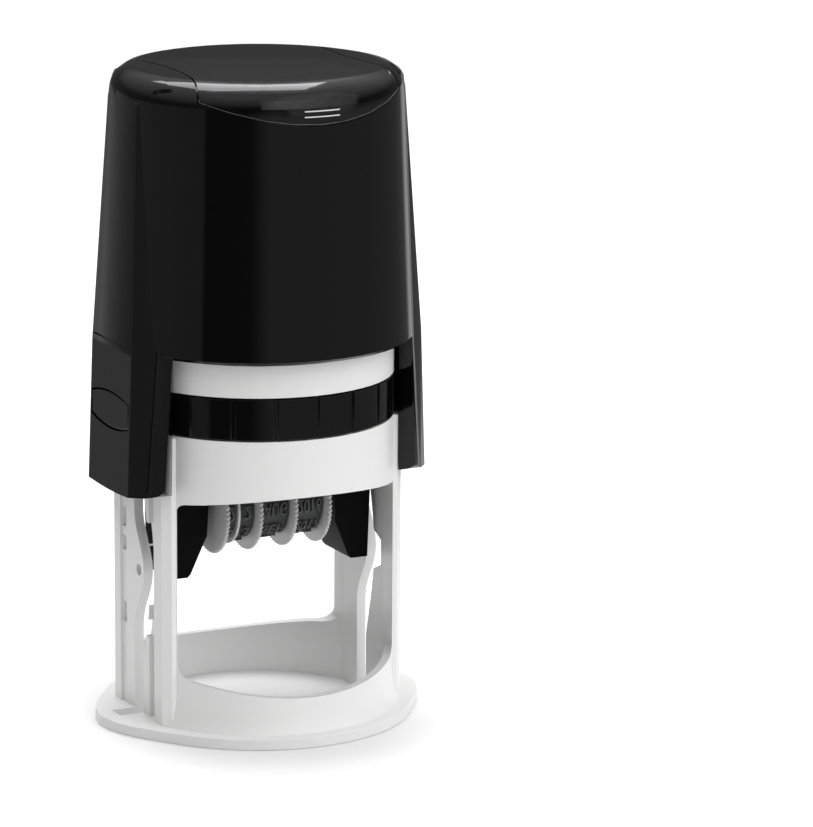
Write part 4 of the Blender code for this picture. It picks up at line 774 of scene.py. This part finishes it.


# Floor, light and camera. The floor's own glow, which only the camera and reflections see, lifts
# it to white: liftNearPaintedShade as far as liftFrom from the middle, and liftFar from liftTo on
# The weaker lift near the middle paints shade: the floor round and under the foot stays darker,
# over its real shadow
studio = {"floorColour": (0.70, 0.70, 0.70), "floorRoughness": 0.9, "floorSize": 40.0,
          "liftNearPaintedShade": 0.12, "liftFar": 0.38, "liftFrom": 0.0255, "liftTo": 0.042,
          "underGap": 0.0006, "underGlow": 0.26, "underSamples": 2,
          "zenith": 0.92, "horizon": 0.09, "lowSine": 0.24, "highSine": 0.85,
          "boxPower": 2.7, "boxSize": (0.42, 0.42), "boxPlace": (0.05, 0.22, 0.62),
          "fillStrength": 1.6, "fillAngleDeg": 70, "fillFrom": (0.42, -0.80, 0.42)}

# Curved cards that only reflections see, in degrees round from the camera to its right, with how
# much each glows: grey behind on the left, a dark gap where the camera stands, grey on the right,
# and above that a brighter one that shows in the cap's shoulder
cards = {"radius": 0.16,
         "wall": {"from": -180, "to": 180, "low": 0.0, "high": 0.12,
                  "glow": [(-180, 0.26), (-130, 0.24), (-60, 0.25), (-38, 0.23), (-36, 0.03),
                           (-4, 0.03), (8, 0.29), (60, 0.29), (120, 0.17), (136, 0.19),
                           (142, 0.75), (148, 0.75), (154, 0.22), (180, 0.26)]},
         "shoulder": {"from": 3, "to": 78, "low": 0.128, "high": 0.25,
                      "glow": [(3, 1.0), (10, 1.5), (45, 1.05), (78, 0.2)]}}


def makeFloor():
    half = studio["floorSize"] / 2
    mesh = bpy.data.meshes.new("floor")
    mesh.from_pydata([(-half, -half, 0), (half, -half, 0), (half, half, 0), (-half, half, 0)],
                     [], [(0, 1, 2, 3)])
    floor = addPiece("floor", mesh)
    material, tree = newMaterial("floor")
    shader = tree.nodes["Principled BSDF"]
    shader.inputs["Base Color"].default_value = (*studio["floorColour"], 1)
    shader.inputs["Roughness"].default_value = studio["floorRoughness"]
    shader.inputs["Specular IOR Level"].default_value = 0.0
    shader.inputs["Emission Color"].default_value = (1, 1, 1, 1)
    rays = tree.nodes.new("ShaderNodeLightPath").outputs
    seen = mathNode(tree, "MAXIMUM", rays["Is Camera Ray"], rays["Is Transmission Ray"])
    seen = mathNode(tree, "MAXIMUM", seen, rays["Is Glossy Ray"])
    # The lift to white grows with the distance from the middle, so that the floor round and under
    # the foot stays darker: painted shade over its real shadow there
    distance = tree.nodes.new("ShaderNodeVectorMath")
    distance.operation = "LENGTH"
    link(tree, tree.nodes.new("ShaderNodeTexCoord").outputs["Object"], distance.inputs[0])
    lift = rampNode(tree, distance.outputs["Value"], studio["liftFrom"], studio["liftTo"],
                    studio["liftNearPaintedShade"], studio["liftFar"])
    # Where something stands close over the floor it glows for diffuse rays alone, as the
    # underside, which shows through the floor from below, would be black otherwise
    shelter = tree.nodes.new("ShaderNodeAmbientOcclusion")
    shelter.samples = studio["underSamples"]
    shelter.inputs["Distance"].default_value = studio["underGap"]
    under = mathNode(tree, "SUBTRACT", 1.0, shelter.outputs["AO"])
    under = mathNode(tree, "MULTIPLY", under, rays["Is Diffuse Ray"])
    under = mathNode(tree, "MULTIPLY", under, studio["underGlow"])
    glow = mathNode(tree, "ADD", mathNode(tree, "MULTIPLY", seen, lift), under)
    link(tree, glow, shader.inputs["Emission Strength"])
    # From below the floor is clear, so that the underside can be looked at
    clear = tree.nodes.new("ShaderNodeBsdfTransparent")
    side = tree.nodes.new("ShaderNodeNewGeometry")
    either = tree.nodes.new("ShaderNodeMixShader")
    link(tree, side.outputs["Backfacing"], either.inputs[0])
    link(tree, shader.outputs[0], either.inputs[1])
    link(tree, clear.outputs[0], either.inputs[2])
    link(tree, either.outputs[0], tree.nodes["Material Output"].inputs["Surface"])
    mesh.materials.append(material)


def makeCard(name, card, towardsCamera, towardsRight):
    # Part of a round wall: each column of points stands at one angle, and its glow is read from
    # the list between the two entries on either side
    angle = np.radians(np.arange(card["from"], card["to"] + 1))
    flat = np.outer(np.cos(angle), towardsCamera) + np.outer(np.sin(angle), towardsRight)
    column = np.column_stack((flat * cards["radius"], np.full(len(angle), card["low"])))
    points = np.repeat(column, 2, axis=0)
    points[1::2, 2] = card["high"]
    first = 2 * np.arange(len(angle) - 1)
    faces = np.column_stack((first, first + 1, first + 3, first + 2))
    mesh = bpy.data.meshes.new(name)
    mesh.from_pydata(points.tolist(), [], faces.tolist())
    glow = np.interp(np.degrees(angle), *zip(*card["glow"]))
    mesh.attributes.new("glow", "FLOAT", "POINT").data.foreach_set("value", np.repeat(glow, 2))
    wall = addPiece(name, mesh)
    wall.visible_camera = False
    wall.visible_diffuse = False
    wall.visible_transmission = False
    wall.visible_shadow = False
    material, tree = newMaterial(name)
    tree.nodes.remove(tree.nodes["Principled BSDF"])
    shine = tree.nodes.new("ShaderNodeEmission")
    read = tree.nodes.new("ShaderNodeAttribute")
    read.attribute_name = "glow"
    link(tree, read.outputs["Fac"], shine.inputs["Strength"])
    link(tree, shine.outputs[0], tree.nodes["Material Output"].inputs["Surface"])
    mesh.materials.append(material)


def makeWorld():
    # A studio that is brightest overhead and dimmer towards the horizon
    world = bpy.data.worlds.new("studio")
    bpy.context.scene.world = world
    world.use_nodes = True
    tree = world.node_tree
    split = tree.nodes.new("ShaderNodeSeparateXYZ")
    link(tree, tree.nodes.new("ShaderNodeTexCoord").outputs["Generated"], split.inputs[0])
    light = rampNode(tree, split.outputs["Z"], studio["lowSine"], studio["highSine"],
                     studio["horizon"], studio["zenith"])
    link(tree, light, tree.nodes["Background"].inputs["Color"])


def addLamp(name, kind, power, aim):
    # A lamp that shines against the direction of aim
    data = bpy.data.lights.new(name, kind)
    data.energy = power
    lamp = addPiece(name, data)
    lamp.rotation_euler = aim.to_track_quat("Z", "Y").to_euler()
    return lamp, data


def makeLamps():
    # A softbox above and behind, and a broad fill from the front right that no surface mirrors
    place = Vector(studio["boxPlace"])
    box, data = addLamp("softbox", "AREA", studio["boxPower"], place - Vector((0, 0, cadHigh[2])))
    box.location = place
    data.shape = "RECTANGLE"
    data.size, data.size_y = studio["boxSize"]
    fill, data = addLamp("fill", "SUN", studio["fillStrength"], Vector(studio["fillFrom"]))
    data.angle = math.radians(studio["fillAngleDeg"])
    fill.visible_glossy = False


# The camera that the photograph was taken with, fitted to the foot and the cap: metres, and pixels
# of the photograph
shot = {"azimuthDeg": 25.2, "pitch": 0.229, "distance": 0.852, "height": 0.2543,
        "focalPixels": 4784.0, "middleX": 257.5, "imageWidth": 813, "imageHeight": 827,
        "sensor": 36.0, "farClip": 20}
azimuth = math.radians(shot["azimuthDeg"])
toRight = Vector((math.cos(azimuth), -math.sin(azimuth), 0))
toBack = Vector((math.sin(azimuth), math.cos(azimuth), 0))


def makeCamera():
    ahead = toBack * math.cos(shot["pitch"]) + Vector((0, 0, -math.sin(shot["pitch"])))
    place = Matrix((toRight, toRight.cross(ahead), -ahead)).transposed().to_4x4()
    place.translation = -toBack * shot["distance"] + Vector((0, 0, shot["height"]))
    data = bpy.data.cameras.new("camera")
    data.sensor_fit = "VERTICAL"
    data.sensor_height = shot["sensor"]
    data.lens = shot["focalPixels"] * shot["sensor"] / shot["imageHeight"]
    data.shift_x = (shot["imageWidth"] / 2 - shot["middleX"]) / shot["imageHeight"]
    data.clip_end = shot["farClip"]
    camera = addPiece("camera", data)
    camera.matrix_world = place
    bpy.context.scene.camera = camera


makeFloor()
makeWorld()
makeLamps()
for name in ("wall", "shoulder"):
    makeCard("reflection_" + name, cards[name], -toBack.xy, toRight.xy)
makeCamera()
bpy.context.scene.view_settings.view_transform = "Standard"
print("studio ready")
